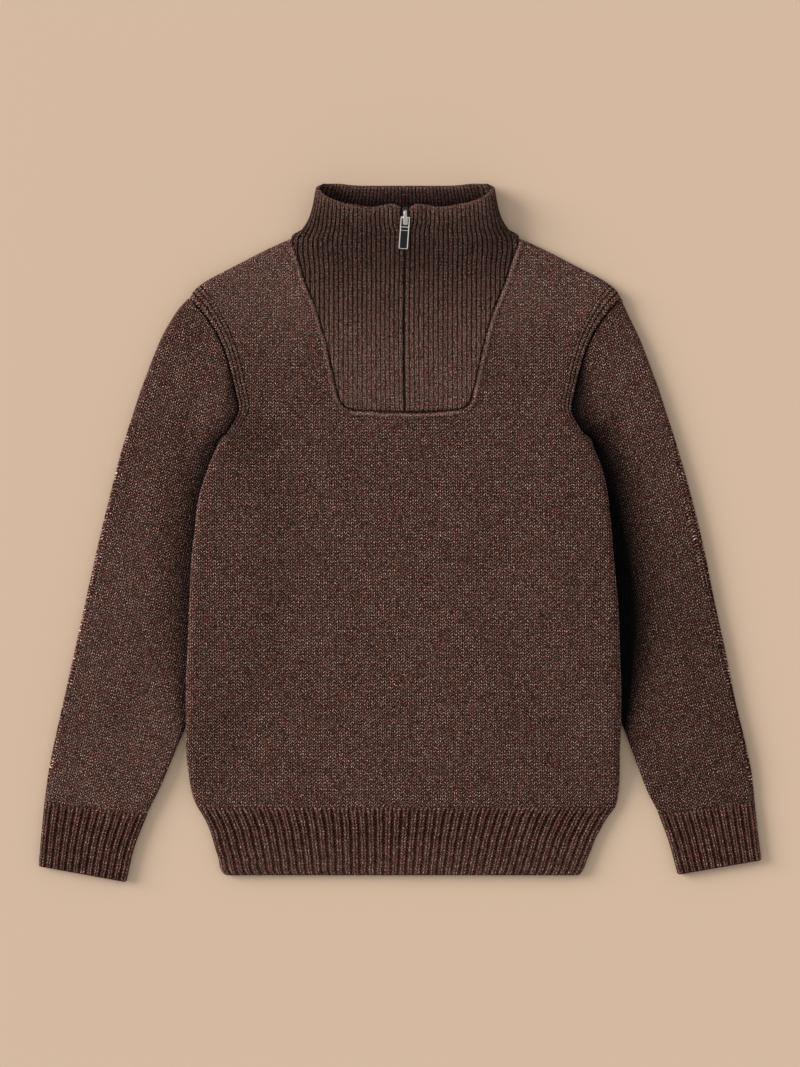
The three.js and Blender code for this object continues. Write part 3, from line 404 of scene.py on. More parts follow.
# One body panel: rows from the hem seam to the shoulder, columns from one side to the other. Each row
# runs straight from its side edge to the collar's seam line, dips across the middle and comes back.
def bodyPanel(name, side):
    isFront = side > 0
    onFront = 1 if isFront else 0
    evenRows, yokeRows, tipRows = body["rows"]
    underInsert = body["insertY"] - body["hemSeamY"]
    share = join(np.linspace(0, body["lastEvenRow"], evenRows), 1 - nearSeam / underInsert)
    lowerRows = len(share)
    sideY = mix(body["hemSeamY"], body["armpitY"], share)
    upToTip = np.linspace(0, body["tipStep"], yokeRows)[1:]
    step = join(upToTip, np.linspace(body["tipStep"], lastStep, tipRows)[1:])
    yoke = [curveThrough(body["yoke"], i, step) for i in range(1, 5)]
    low = np.ones(lowerRows)
    edgeY = join(sideY, yoke[0])
    edgeLeft = join(curveThrough(body["sides"], 1, sideY), middleX - yoke[1] + halfGap)
    edgeRight = join(curveThrough(body["sides"], 2, sideY), middleX + yoke[1] - halfGap)
    neckY = join(mix(body["hemSeamY"], body["insertY"], share), yoke[2])
    neckHalf = join(body["insertHalf"] * low, yoke[3])
    yokeDip = mix(body["insertDip"], body["neckDip"], step / lastStep)
    dip = join(body["insertDip"] * share, yokeDip)
    power = join(2 * low, mix(2, 4, ease(step, 0, 3)))  # of the dip's curve
    bulge = join(0 * low, ease(step, 2, 10))
    opened = join(0 * low, np.clip(step, 0, 1))  # the side is turned in below the armpit
    roll = join(90 * low, tipTurn(step))
    inYoke = perRow(join(-low, step))

    # columns: round the turned side, close together over the band, then evenly and close again
    angles = np.linspace(0, 90, 17)
    rolled = body["sideRoll"] * (1 - cosine(angles))
    near = join(rolled, np.arange(7.5, 13, 0.5))
    across = join(
        np.linspace(0, 0.62, 15)[1:], [0.7, 0.77, 0.83, 0.87, 0.9], 1 - nearSeam[3:] / 100,
    )
    halves = []
    for sign, edgeX in ((-1, edgeLeft), (1, edgeRight)):
        neckX = middleX + sign * (neckHalf + halfGap * onFront)
        width = perRow(np.abs(neckX - edgeX))
        edge = join(near + 0 * width, mix(near[-1], width, across), axis=1)
        part = edge / width
        x = perRow(edgeX) - sign * edge
        y = mix(perRow(edgeY), perRow(neckY), part) + perRow(bulge) * shoulderBow(part)
        bottom, top = bodyHeights(x, y, edge)
        turn = join(angles, np.full(edge.shape[1] - len(angles), 90))
        turn = np.minimum(mix(turn, 90, perRow(opened)), perRow(roll))
        shoulder = ease(90 - perRow(roll), 0, 20)
        atTip, atNeck = 1 - ease(edge, 0, 12), 1 - ease(width - edge, 0, 12)
        out = [0, 0]
        for i in range(2):
            off = body["shoulderNormal"][i] * (1 - atTip - atNeck)
            off = off + body["normalAtTip"][i] * atTip + body["normalAtNeck"][i] * atNeck
            out[i] = mix(float(i == 0), off, shoulder)
        z = turnedFace(bottom, top, turn, side)
        relief = body["unevenness"] * unevenness(x, y, body["unevenSeed"]) * ease(edge, 4, 40) * onFront
        shade = 0 * edge
        if isFront:
            away = ease(inYoke, *body["bandStart"])
            byInsert = ease(inYoke, *body["weltStart"])
            wave = np.cos(math.tau * (edge / body["bandColumn"] - 0.5))
            ripple = body["bandRipple"][0] + body["bandRipple"][1] * wave
            relief = relief + away * ripple * (1 - ease(edge, body["bandWidth"] - 1, body["bandWidth"] + 0.5))
            relief = relief - away * seamDip(edge)
            relief = relief + byInsert * insertWelt(width - edge)
            relief = relief * ease(perRow(roll), 0, 60)
            # painted shade between the raised columns and in the seam beside them, painted light on the
            # columns
            crest = 0.5 + 0.5 * wave
            beside = 1 - ease(edge, body["bandWidth"] + 0.2, body["bandWidth"] + 1.6)
            lines = body["bandGroove"] * (1 - crest) ** 1.5 - body["bandCrest"] * crest
            inSeam, seamReach = body["bandSeam"]
            shade = away * (beside * lines + inSeam * hump(edge, seamReach))
            # painted shade and painted light of the welt beside the insert
            shade = shade + byInsert * insertShade(x, y, width - edge) * ease(width, *welt["sideFade"])
            # painted light on the shoulders
            shade = shade - body["shoulderLight"] * ease(y, *body["shoulderLightY"])
            # painted shade on the side away from the light
            shade = shade + body["farShade"] * ease(x, *body["farShadeX"])
            # painted light along the side's fold below the yoke
            shade = shade - body["edgeLight"] * hump(edge, body["edgeLightReach"]) * (1 - away)
        outer, inner = wallPoints(x, y, z, sign * out[0], out[1], side * turn, relief)
        halves.append((outer, inner, edge, shade))

    m = np.linspace(-1, 1, body["middleColumns"])[1:-1]
    x = middleX + m * perRow(neckHalf)
    inset = halfGap * onFront * perRow(dip) / body["insertDip"]
    y = perRow(neckY) - perRow(dip) * (1 - np.abs(m) ** perRow(power)) - inset
    edge = np.minimum(x - perRow(edgeLeft), perRow(edgeRight) - x)
    bottom, top = bodyHeights(x, y, edge)
    turn = mix(perRow(roll), 90, ease(1 - np.abs(m), 0, 0.08))
    relief = body["unevenness"] * unevenness(x, y, body["unevenSeed"]) * onFront
    middleShade = 0 * x
    if isFront:
        underSeam = body["insertY"] - body["insertDip"] * (1 - m ** 2) - halfGap - y
        relief = relief + insertWelt(underSeam)
        # painted shade and light of the welt under the insert, with more painted light there
        lightEnds = ease(1 - np.abs(m), 0, welt["middleLightEnds"])
        middleShade = insertShade(x, y, underSeam) - humpAt(underSeam, *welt["middleLight"]) * lightEnds
    middle = wallPoints(x, y, turnedFace(bottom, top, turn, side), 0, 1, side * turn, relief)

    left, right = halves
    outer = join(left[0], middle[0], right[0][:, ::-1], axis=1)
    inner = join(left[1], middle[1], right[1][:, ::-1], axis=1)
    shade = join(left[3], middleShade, right[3][:, ::-1], axis=1)
    wale = (outer[..., 0] - middleX) / cloth["waleWidth"] + 0.5
    uv = stack(wale, outer[..., 1] / cloth["courseHeight"])
    columns = left[0].shape[1]
    filled = np.ones((len(edgeY) - 1, outer.shape[1] - 1), bool)
    if isFront:
        filled[lowerRows - 1:, columns - 1:columns + len(m)] = False

    # beside the armhole the pattern follows the seam
    edges = join(left[2], np.full(middle[0].shape[:2], farIn), right[2][:, ::-1], axis=1)
    alongSeam = join([0], np.cumsum(np.hypot(np.diff(edgeY), np.diff(edgeLeft))))
    courses = perRow(alongSeam) / cloth["courseHeight"]
    bandUv = stack(-edges / body["bandColumn"], courses)
    inBand = np.maximum(edges[:-1, :-1], edges[:-1, 1:]) < body["bandWidth"] + 0.2
    inBand[:lowerRows + 1] = False
    values = {"shade": (shade, 0)}
    return wallMesh(name, outer, inner, uv, filled, bandUv=bandUv, inBand=inBand, values=values)


frontPanel = bodyPanel("front_panel_cloth", 1)
backPanel = bodyPanel("back_panel_cloth", -1)
print("front and back panels made")

sleeves = {
    "height": 9.9,
    "joinHeight": 8.6,  # where the cuff starts
    "pressedHeight": 6.4,  # under the body
    "pressedStart": (-215, -170),
    "pressedAcross": (0.35, 0.64),  # share of the width, from the outer edge
    "outerRoll": 5.0,
    "outerRollMost": 0.5,  # share of the width
    "innerRoll": 3.2,
    "innerRollMost": 0.3,
    "capBlend": 0.55,  # share of the width from which the cap takes the armhole seam's height
    "unevenness": 0.6,
    # painted shade in the crease beside the body
    "creaseReach": {"right": 16, "left": 27},
    "creaseShadeStrength": {"right": 0.8, "left": 1.0},
    "creaseStart": (-215, -60),
    "creaseEnd": (60, 165),
    "creaseLeast": 1.2,  # its reach at the ends
    "farShade": {"right": -0.06, "left": 0.2},  # painted shade towards the cuff; below 0 it is painted light
    "farShadeY": (-60, 60),
    "foldWidth": 3.0,  # of the pattern that goes round the outer fold
    "cuffStep": 2,
    "armpitStep": 11,
    "topStep": 22.8,
    "rows": (84, 8, 41),  # of the tube, beside the armpit, and of the cap
    # step, outer edge x and y, inner edge x and y, from the cuff's end to the armpit
    "right": [
        (0, -308.1, -284.3, -233.3, -297.9), (1, -305.7, -257.1, -226.5, -269),
        (2, -303, -229.1, -215.5, -240.1), (3, -299.2, -201.9, -204.4, -217.2),
        (4, -294.1, -176.4, -195.1, -195.1), (5, -286.5, -142.4, -181.9, -163.6),
        (6, -277.1, -99.9, -164, -124.5), (7, -267.8, -57.4, -151.3, -82.9),
        (8, -258.4, -14.9, -143.7, -41.2), (9, -248.2, 27.6, -141.1, 0.4),
        (10, -237.2, 70.1, -144.5, 38.7), (11, -224.4, 110.9, -156, 73),
    ],
    "left": [
        (0, 308.1, -279.2, 236.7, -291.6), (1, 305, -254.6, 229.1, -263.9),
        (2, 302.2, -229.1, 220.2, -239.3), (3, 299.2, -201.9, 210.8, -220.6),
        (4, 293.7, -176.4, 201, -195.1), (5, 285.6, -142.4, 188.3, -161.1),
        (6, 277.1, -99.9, 171.7, -125.4), (7, 267.8, -57.4, 159.8, -83.7),
        (8, 259.3, -14.9, 153, -42.1), (9, 249.1, 27.6, 150.5, -0.4),
        (10, 237.2, 70.1, 153, 38.7), (11, 223.6, 112.6, 165, 73),
    ],
    # step up the yoke, outer edge y and half width, heights of the underside and the top there
    "cap": [
        (1, 124.5, 219.8, 0, 9.9), (2, 137.3, 215, 0, 9.9), (3, 147.9, 211, 0, 9.9),
        (4, 158.5, 206.8, 0, 9.9), (5, 167.9, 202.8, 0, 9.9), (6, 175.5, 198.8, 0, 9.9),
        (7, 181.9, 195.3, 0, 9.9), (8, 187.4, 192.3, 0, 9.9), (9, 191.3, 190, 0, 9.9),
        (10, 194.7, 187.5, 0.6, 10), (11, 197.2, 186, 2.6, 9.2), (11.8, 198.7, 185.2, 4.2, 7),
    ],
}


# Outer and inner edge of a sleeve at steps from the cuff up: the tube's rows as far as the armpit,
# then the cap's, whose inner edge is the armhole seam.
def sleeveEdges(which, sign):
    rows = np.array(sleeves[which], float)
    cap = np.array(sleeves["cap"], float)
    seamY, seamHalf = (curveThrough(body["yoke"], i, cap[:, 0]) for i in (1, 2))
    armpitStep = sleeves["armpitStep"]
    capX = middleX * (cap[:, 0] / lastStep) ** 3 + sign * cap[:, 2]
    seamX = middleX + sign * (seamHalf + cloth["seamGap"] / 2)
    capRows = np.stack([armpitStep + cap[:, 0], capX, cap[:, 1], seamX, seamY], 1)
    return join(rows, capRows)


# A sleeve: sections across it from the cuff seam to the shoulder's tip. A section's points go round
# from its inner turn over the top, round the outer turn and back underneath.
def sleeve(name, which, sign):
    table = sleeveEdges(which, sign)
    armpitStep, cuffStep = sleeves["armpitStep"], sleeves["cuffStep"]
    tubeRows, armpitRows, capRows = sleeves["rows"]
    steps = join(
        np.linspace(cuffStep, armpitStep, tubeRows), armpitStep + np.linspace(0, 1, armpitRows + 1)[1:],
        np.linspace(armpitStep + 1, sleeves["topStep"], capRows + 1)[1:],
    )
    outX, outY, inX, inY = (perRow(curveThrough(table, i, steps)) for i in range(1, 5))
    opened = perRow(np.clip(steps - armpitStep, 0, 1))  # 0 for the tube, 1 where the armhole ends it
    cap = perRow(np.clip(steps - armpitStep, 0, None))

    # a section's runs: 0 is an inner turn, 1 a flat face and 2 the outer turn
    counts = [8, 24, 17, 12, 8]
    kind = np.repeat([0, 1, 2, 1, 0], counts)
    innerAngles = np.linspace(8, 90, counts[0])
    angle = join(
        innerAngles, np.full(counts[1], 90), np.linspace(90, -90, counts[2]), np.full(counts[3], -90),
        -innerAngles[::-1],
    )
    share = join(
        np.zeros(counts[0]), np.linspace(0, 1, counts[1] + 2)[1:-1], np.zeros(counts[2]),
        np.linspace(1, 0, counts[3] + 2)[1:-1], np.zeros(counts[4]),
    )

    acrossX, acrossY = inX - outX, inY - outY
    width = np.hypot(acrossX, acrossY)
    acrossX, acrossY = acrossX / width, acrossY / width
    outerTurn = np.minimum(sleeves["outerRoll"], sleeves["outerRollMost"] * width)
    innerTurn = np.minimum(sleeves["innerRoll"], sleeves["innerRollMost"] * width)
    level = 1 - cosine(angle)
    distance = mix(width - innerTurn, outerTurn, share)
    distance = np.where(kind == 2, outerTurn * level, distance)
    distance = np.where(kind == 0, width - innerTurn * level, distance)
    turn = np.where(kind == 0, mix(angle, 90 * np.sign(angle), opened), angle)
    away = np.where(kind == 2, -1, np.where(kind == 0, 1, 0))

    part = distance / width
    full = mix(sleeves["joinHeight"], sleeves["height"], ease(perRow(steps), cuffStep, cuffStep + 2))
    pressed = ease(inY, *sleeves["pressedStart"])
    pressedFrom, pressedTo = sleeves["pressedAcross"]
    tubeTop = mix(full, sleeves["pressedHeight"], pressed * ease(part, pressedFrom, pressedTo))
    seamBottom, seamTop = bodyHeights(inX, inY, 0.0 * inX)
    roll = tipTurn(cap)
    low, high = (curveThrough(sleeves["cap"], i, cap) for i in (3, 4))
    toSeam = ease(part, sleeves["capBlend"], 1)
    capLow = mix(low, turnedFace(seamBottom, seamTop, roll, -1), toSeam)
    capHigh = mix(high, turnedFace(seamBottom, seamTop, roll, 1), toSeam)
    rise = ease(opened, 0, 1)
    bottom, top = mix(0, capLow, rise), mix(tubeTop, capHigh, rise)
    z = (bottom + top) / 2 + (top - bottom) / 2 * sine(turn)

    x, y = outX + acrossX * distance, outY + acrossY * distance
    facesUp = np.maximum(sine(turn), 0)
    relief = sleeves["unevenness"] * unevenness(x, y, 8 + sign) * facesUp * ease(distance, 2, 20)
    relief = relief * (1 - pressed * (1 - opened) * ease(part, 0.5, pressedTo))
    relief = relief * (1 - ease(part, 0.8, 1)) - facesUp * opened * seamDip(width - distance)
    room = np.minimum(1, 0.9 * width / cloth["wall"])
    outer, inner = wallPoints(x, y, z, room * away * acrossX, room * away * acrossY, turn, relief)

    # wales run parallel to the outer fold, courses across it
    (startX, startY), (endX, endY) = table[cuffStep, 1:3], table[armpitStep, 1:3]
    length = math.hypot(endX - startX, endY - startY)
    foldX, foldY = (endX - startX) / length, (endY - startY) / length
    fromFold = np.abs((x - startX) * foldY - (y - startY) * foldX)
    alongFold = (x - startX) * foldX + (y - startY) * foldY
    overFold = sleeves["foldWidth"] * (1 - np.abs(sine(angle))) * (kind == 2)
    u = np.where(angle >= 0, 1, -1) * (fromFold + sleeves["foldWidth"] - overFold) / cloth["waleWidth"]
    uv = stack(u, alongFold / cloth["courseHeight"])
    uv = join(uv, uv[:, :1], axis=1)
    filled = np.ones((len(steps) - 1, len(angle)), bool)
    filled[tubeRows - 1:, -1] = False

    # painted shade in the deep crease along the body's side, where next to no light reaches
    sideX = curveThrough(body["sides"], 1 if sign < 0 else 2, y)
    seamX = middleX + sign * curveThrough([(row[1], row[2]) for row in body["yoke"]], 1, y)
    fromBody = np.maximum(sign * (x - np.where(y < body["armpitY"], sideX, seamX)), 0)
    along = ease(y, *sleeves["creaseStart"]) * (1 - ease(y, *sleeves["creaseEnd"]))
    reach = sleeves["creaseReach"][which] * along + sleeves["creaseLeast"]
    creaseShade = sleeves["creaseShadeStrength"][which] * hump(fromBody, reach)
    # painted light along the outer fold, where loose fibres catch it
    fibres = body["edgeLight"] * (kind == 2) * hump(distance, body["edgeLightReach"])
    # painted shade towards the cuff on the side away from the light, painted light on the other
    far = sleeves["farShade"][which] * (1 - ease(y, *sleeves["farShadeY"]))
    values = {"shade": (creaseShade - fibres + far, creaseShade)}
    return wallMesh(name, outer, inner, uv, filled, wrap=True, values=values)


rightSleeve = sleeve("sleeve_right_cloth", "right", -1)
leftSleeve = sleeve("sleeve_left_cloth", "left", 1)
print("sleeves made")

ribBands = {
    # painted light towards the hem's free edge, and the rise over which it fades
    "hemLight": 0.16,
    "hemLightRise": 45,
    "hemRibs": 47,
    "hemRelief": 1.3,
    "hemBase": 6.9,
    "hemRoll": 5,
    "cuffRibs": 13,
    "cuffRelief": 1.2,
    "cuffRoll": 4.2,
    "cuffHeight": 7.3,
    "samples": 10,  # columns in a rib
    "ridgeShare": 0.58,  # of a rib's width that stands up
    "edgeRadius": 1.5,  # of the free edge
    "waver": 0.5,  # sideways, of the ribs
    "start": (1.5, 1.2, 2.4),  # mean distance from the seam where a rib starts, its change, and how fast
    "startLength": 4,
    "startHeight": 0.85,  # share of the relief at the seam
    "smoothAngles": (20, 80),  # of a turned side, beside the seam
    "hemUneven": 0.35,
    "hemFade": 16,  # distance from the seam in which the sides take the panels' turn
    "cuffFade": 14,
    "rows": (26, 24),  # even ones, in the hem and in a cuff
    "evenFrom": 3.5,
    "seamInset": 0.05,
    # y, right side, left side
    "hemSides": [
        (-292, -149.6, 153), (-287, -153, 156.4), (-278, -154.7, 159.8), (-270, -157.3, 163.2),
        (-261, -159.8, 166.6), (-253, -162.4, 170.9), (-244, -166.6, 176), (-234, -172.5, 183.5),
    ],
}


# Share of a rib's relief at a place across it: a rounded ridge with a smooth groove beside it.
def ridge(place, ridgeShare):
    toMiddle = np.abs(place % 1 - 0.5) * 2
    dome = np.sqrt(1 - np.clip(toMiddle / (ridgeShare + 0.28), 0, 1) ** 2.6)
    return dome * (1 - ease(toMiddle, ridgeShare, 0.98))


def turnAt(edge, roll):  # the angle at which a face that turns over a radius faces there
    return np.degrees(np.arccos(np.clip(1 - edge / roll, 0, 1)))


freeRows = np.array([0, 0.12, 0.4, 0.8, 1.3, 2.0])  # rows close together by a free edge


# A hem band: rows up from its free edge, columns across the ribs from side to side.
def hemBand(name, side):
    bottomY = cloth["hemEndY"]
    topY = body["hemSeamY"] - ribBands["seamInset"]
    evenY = np.linspace(bottomY + ribBands["evenFrom"], topY, ribBands["rows"][0])
    y = perRow(join(bottomY + freeRows, evenY))
    left, right = (curveThrough(ribBands["hemSides"], i, y) for i in (1, 2))
    place = np.arange(ribBands["hemRibs"] * ribBands["samples"] + 1) / ribBands["samples"]
    x = mix(left, right, place / ribBands["hemRibs"])
    edge = np.minimum(x - left, right - x)
    x = x + ribBands["waver"] * unevenness(12 * place, 0.7 * y, 12) * ease(edge, 0, 10)
    toSeam = body["hemSeamY"] - y
    bySeam = 1 - ease(toSeam, 0, ribBands["hemFade"])
    angle = turnAt(edge, mix(ribBands["hemRoll"], body["sideRoll"], bySeam))
    mean, change, rate = ribBands["start"]
    ribStart = np.sin(np.floor(place) * rate)  # ribs start a little apart
    relief = 0 * x
    if side > 0:
        relief = ribBands["hemRelief"] * ridge(place, ribBands["ridgeShare"]) * np.ones_like(x)
        startsAt = mean + change * ribStart
        smooth = ribBands["hemRelief"] * ribBands["startHeight"]
        relief = mix(smooth, relief, ease(toSeam, startsAt, startsAt + ribBands["startLength"]))
        relief = relief * mix(1, ease(angle, *ribBands["smoothAngles"]), bySeam)
        relief = relief + ribBands["hemUneven"] * unevenness(x, y, body["unevenSeed"]) * ease(edge, 4, 30)
    z = turnedFace(0, ribBands["hemBase"] + 0 * x, angle, side)
    outer, inner = wallPoints(x, y, z, np.sign(x), 0, side * angle, relief)
    outer, inner = roundEdge(outer, inner, y - bottomY, ribBands["edgeRadius"])
    uv = stack(place, y / cloth["courseHeight"])
    plain = 1 - ease(toSeam, 1 + ribStart, 6)
    # painted light towards the hem's free edge
    shade = -ribBands["hemLight"] * (1 - ease(y, bottomY, bottomY + ribBands["hemLightRise"])) + 0 * x
    return wallMesh(name, outer, inner, uv, values={"plain": (plain, plain), "shade": (shade, 0)})


# A cuff: rows down from the sleeve, points round from the outer edge over the top and back under.
def cuff(name, which):
    seamStep = sleeves["cuffStep"]
    rows = np.array(sleeves[which], float)[:seamStep + 1]
    reach = math.hypot(*(rows[seamStep, 1:3] - rows[0, 1:3]))
    evenRows = np.linspace(ribBands["evenFrom"], reach - ribBands["seamInset"], ribBands["rows"][1])
    fromEnd = join(freeRows, evenRows)
    step = seamStep * fromEnd / reach
    outX, outY, inX, inY = (perRow(curveThrough(rows, i, step)) for i in range(1, 5))
    width = np.hypot(inX - outX, inY - outY)
    acrossX, acrossY = (inX - outX) / width, (inY - outY) / width
    ribs, samples, roll = ribBands["cuffRibs"], ribBands["samples"], ribBands["cuffRoll"]
    place = np.arange(ribs * samples + 1) / samples
    topDistance = width * place / ribs
    topAngle = turnAt(np.minimum(topDistance, width - topDistance), roll)
    underAngles = np.array([-15, -30, -45, -60, -75, -90.0])
    turned = roll * (1 - cosine(underAngles))
    flat = np.linspace(1, 0, 16)[1:-1]
    flatDistance = mix(roll, width - roll, flat)
    underDistance = join(width - turned, flatDistance, 0 * width + turned[::-1], axis=1)
    underAngle = join(underAngles, np.full(len(flat), -90.0), underAngles[::-1])
    distance = join(topDistance, underDistance, axis=1)
    angle = join(topAngle, underAngle + 0 * underDistance, axis=1)
    underCount = underDistance.shape[1]
    relief = ribBands["cuffRelief"] * ridge(place, ribBands["ridgeShare"])
    relief = join(relief, np.zeros(underCount))
    toSeam = perRow(reach - fromEnd)
    startsAt = ribBands["start"][0]
    smooth = ribBands["cuffRelief"] * ribBands["startHeight"]
    relief = mix(smooth, relief, ease(toSeam, startsAt, startsAt + ribBands["startLength"]))
    bySeam = 1 - ease(toSeam, 0, ribBands["cuffFade"])
    relief = relief * mix(1, ease(angle, *ribBands["smoothAngles"]), bySeam)
    relief[:, len(place):] = 0
    away = np.where(distance < width / 2, -1, 1)
    z = ribBands["cuffHeight"] / 2 * (1 + sine(angle))
    x, y = outX + acrossX * distance, outY + acrossY * distance
    outer, inner = wallPoints(x, y, z, away * acrossX, away * acrossY, angle, relief)
    outer, inner = roundEdge(outer, inner, perRow(fromEnd), ribBands["edgeRadius"])
    underU = ribs + np.arange(1, underCount + 2) / (underCount + 1) * ribs
    u = join(place, underU)
    uv = stack(u, perRow(fromEnd) / cloth["courseHeight"])
    plain = 1 - ease(toSeam, 0.5, 6)
    return wallMesh(name, outer, inner, uv, wrap=True, values={"plain": (plain, plain)})


frontHem = hemBand("hem_front_rib", 1)
backHem = hemBand("hem_back_rib", -1)
rightCuff = cuff("cuff_right_rib", "right")
leftCuff = cuff("cuff_left_rib", "left")
print("rib bands made")

neck = {
    "ribs": 24,  # in each half of the front, from the zip to the side
    "ribSpan": 97,
    "relief": 0.95,
    "baseDrop": 0.4,
    "samples": 8,  # columns in a rib
    "ridgeShare": 0.74,
    "backRimY": 295.8,
    "cornerRise": 1.8,
    "slitHalf": 0.6,
    "slitBend": (1.1, 172, 55),  # to the right side: how far, y of its middle, reach
    "slitRagged": (0.3, 5.4, 0.4),  # waver of its edges, length of a wave, unevenness
    "sliderSlitHalf": 3.5,
    "sliderSlit": (256, 262),  # where it starts to open for the slider, and is open
    "slitWelt": (0.5, 2.2, 1.6),  # height beside the slit, distance and reach
    "slitDip": (0.9, 0.0, 0.7),
    "lightMark": (218.5, 0.9, 2.6, 1.3),  # a small mark beside the slit, made lighter: y, reach, distance, reach
    "lightMarkStrength": 0.8,
    "edgeRadius": 2.3,
    "weltWidth": 4.2,  # bound edge along the rim
    "weltRise": 0.7,
    "weltFlat": 0.35,
    "weltRibs": 0.4,  # share of the ribs that shows through it
    "foldRise": 1.1,
    "folds": [(1, 8, 6), (-0.9, 20, 7), (0.6, 38, 10)],  # beside the zip: height, distance, reach
    "foldY": (225, 268),
    "shade": 0.28,  # painted shade of the standing part, which faces away from the light
    "shadeY": (205, 250),
    "bendShade": (0.26, 222, 42),  # painted shade where the collar starts to rise: shade, y, reach
    # painted shade in the seam at the collar's foot, and its reach
    "seamShade": (0.85, 0.9),
    # painted light along the rim: light, distance from it, reach
    "rimLight": (0.9, 1.6, 2.0),
    "insideLight": (0.4, 1.0, 1.8),  # painted light on the back's rim
    "insideShade": (0.42, 0.85),  # painted shade inside the mouth: by the back rim, deep inside
    "plain": (0.85, 0.0),  # how far the ribs fade, low in the insert and at the collar
    "plainY": (115, 225),
    "plainRagged": 12,
    "turnFrom": 222,  # y from which the sides turn down
    "rimZone": 8,  # below the rim, with rows close together
    "backColumns": 97,
    "backTurn": 0.12,  # share of the back's columns that lie in the turned side
    "backRelief": 0.5,
    # y, half of the whole width, half that lies flat before it turns
    "widths": [
        (238, 97, 97), (244, 97, 94.4), (250.5, 96, 89.5), (257, 88, 79.5), (265.5, 82, 72.5),
        (274, 78.8, 68.3), (282, 77, 65.5), (289, 75.8, 63.5), (293, 74.4, 62.5), (296, 71.2, 61.5),
    ],
    # share of the way from the zip to the side, y of the rim
    "rim": [
        (0, 275), (0.04, 277.3), (0.1, 278.3), (0.18, 277.2), (0.28, 275.5), (0.36, 276.2),
        (0.45, 277.6), (0.56, 279.4), (0.7, 283.4), (0.8, 287.4), (0.9, 292.2), (1, 296),
    ],
}


def slitAt(y):
    return mix(neck["slitHalf"], neck["sliderSlitHalf"], ease(y, *neck["sliderSlit"]))


# distances from the rim at which rows lie below it
rimRows = perRow(join([6.5, 5, 4.2, 3.4, 2.7], freeRows[::-1]))


# Half the width that lies flat at y, and the width and height of the ellipse that turns down beside it.
def collarSides(y):
    flat = curveThrough(neck["widths"], 2, y)
    turnWidth = np.maximum(curveThrough(neck["widths"], 1, y) - flat, 0.01)
    return flat, turnWidth, frontTop(flat, y) / 2


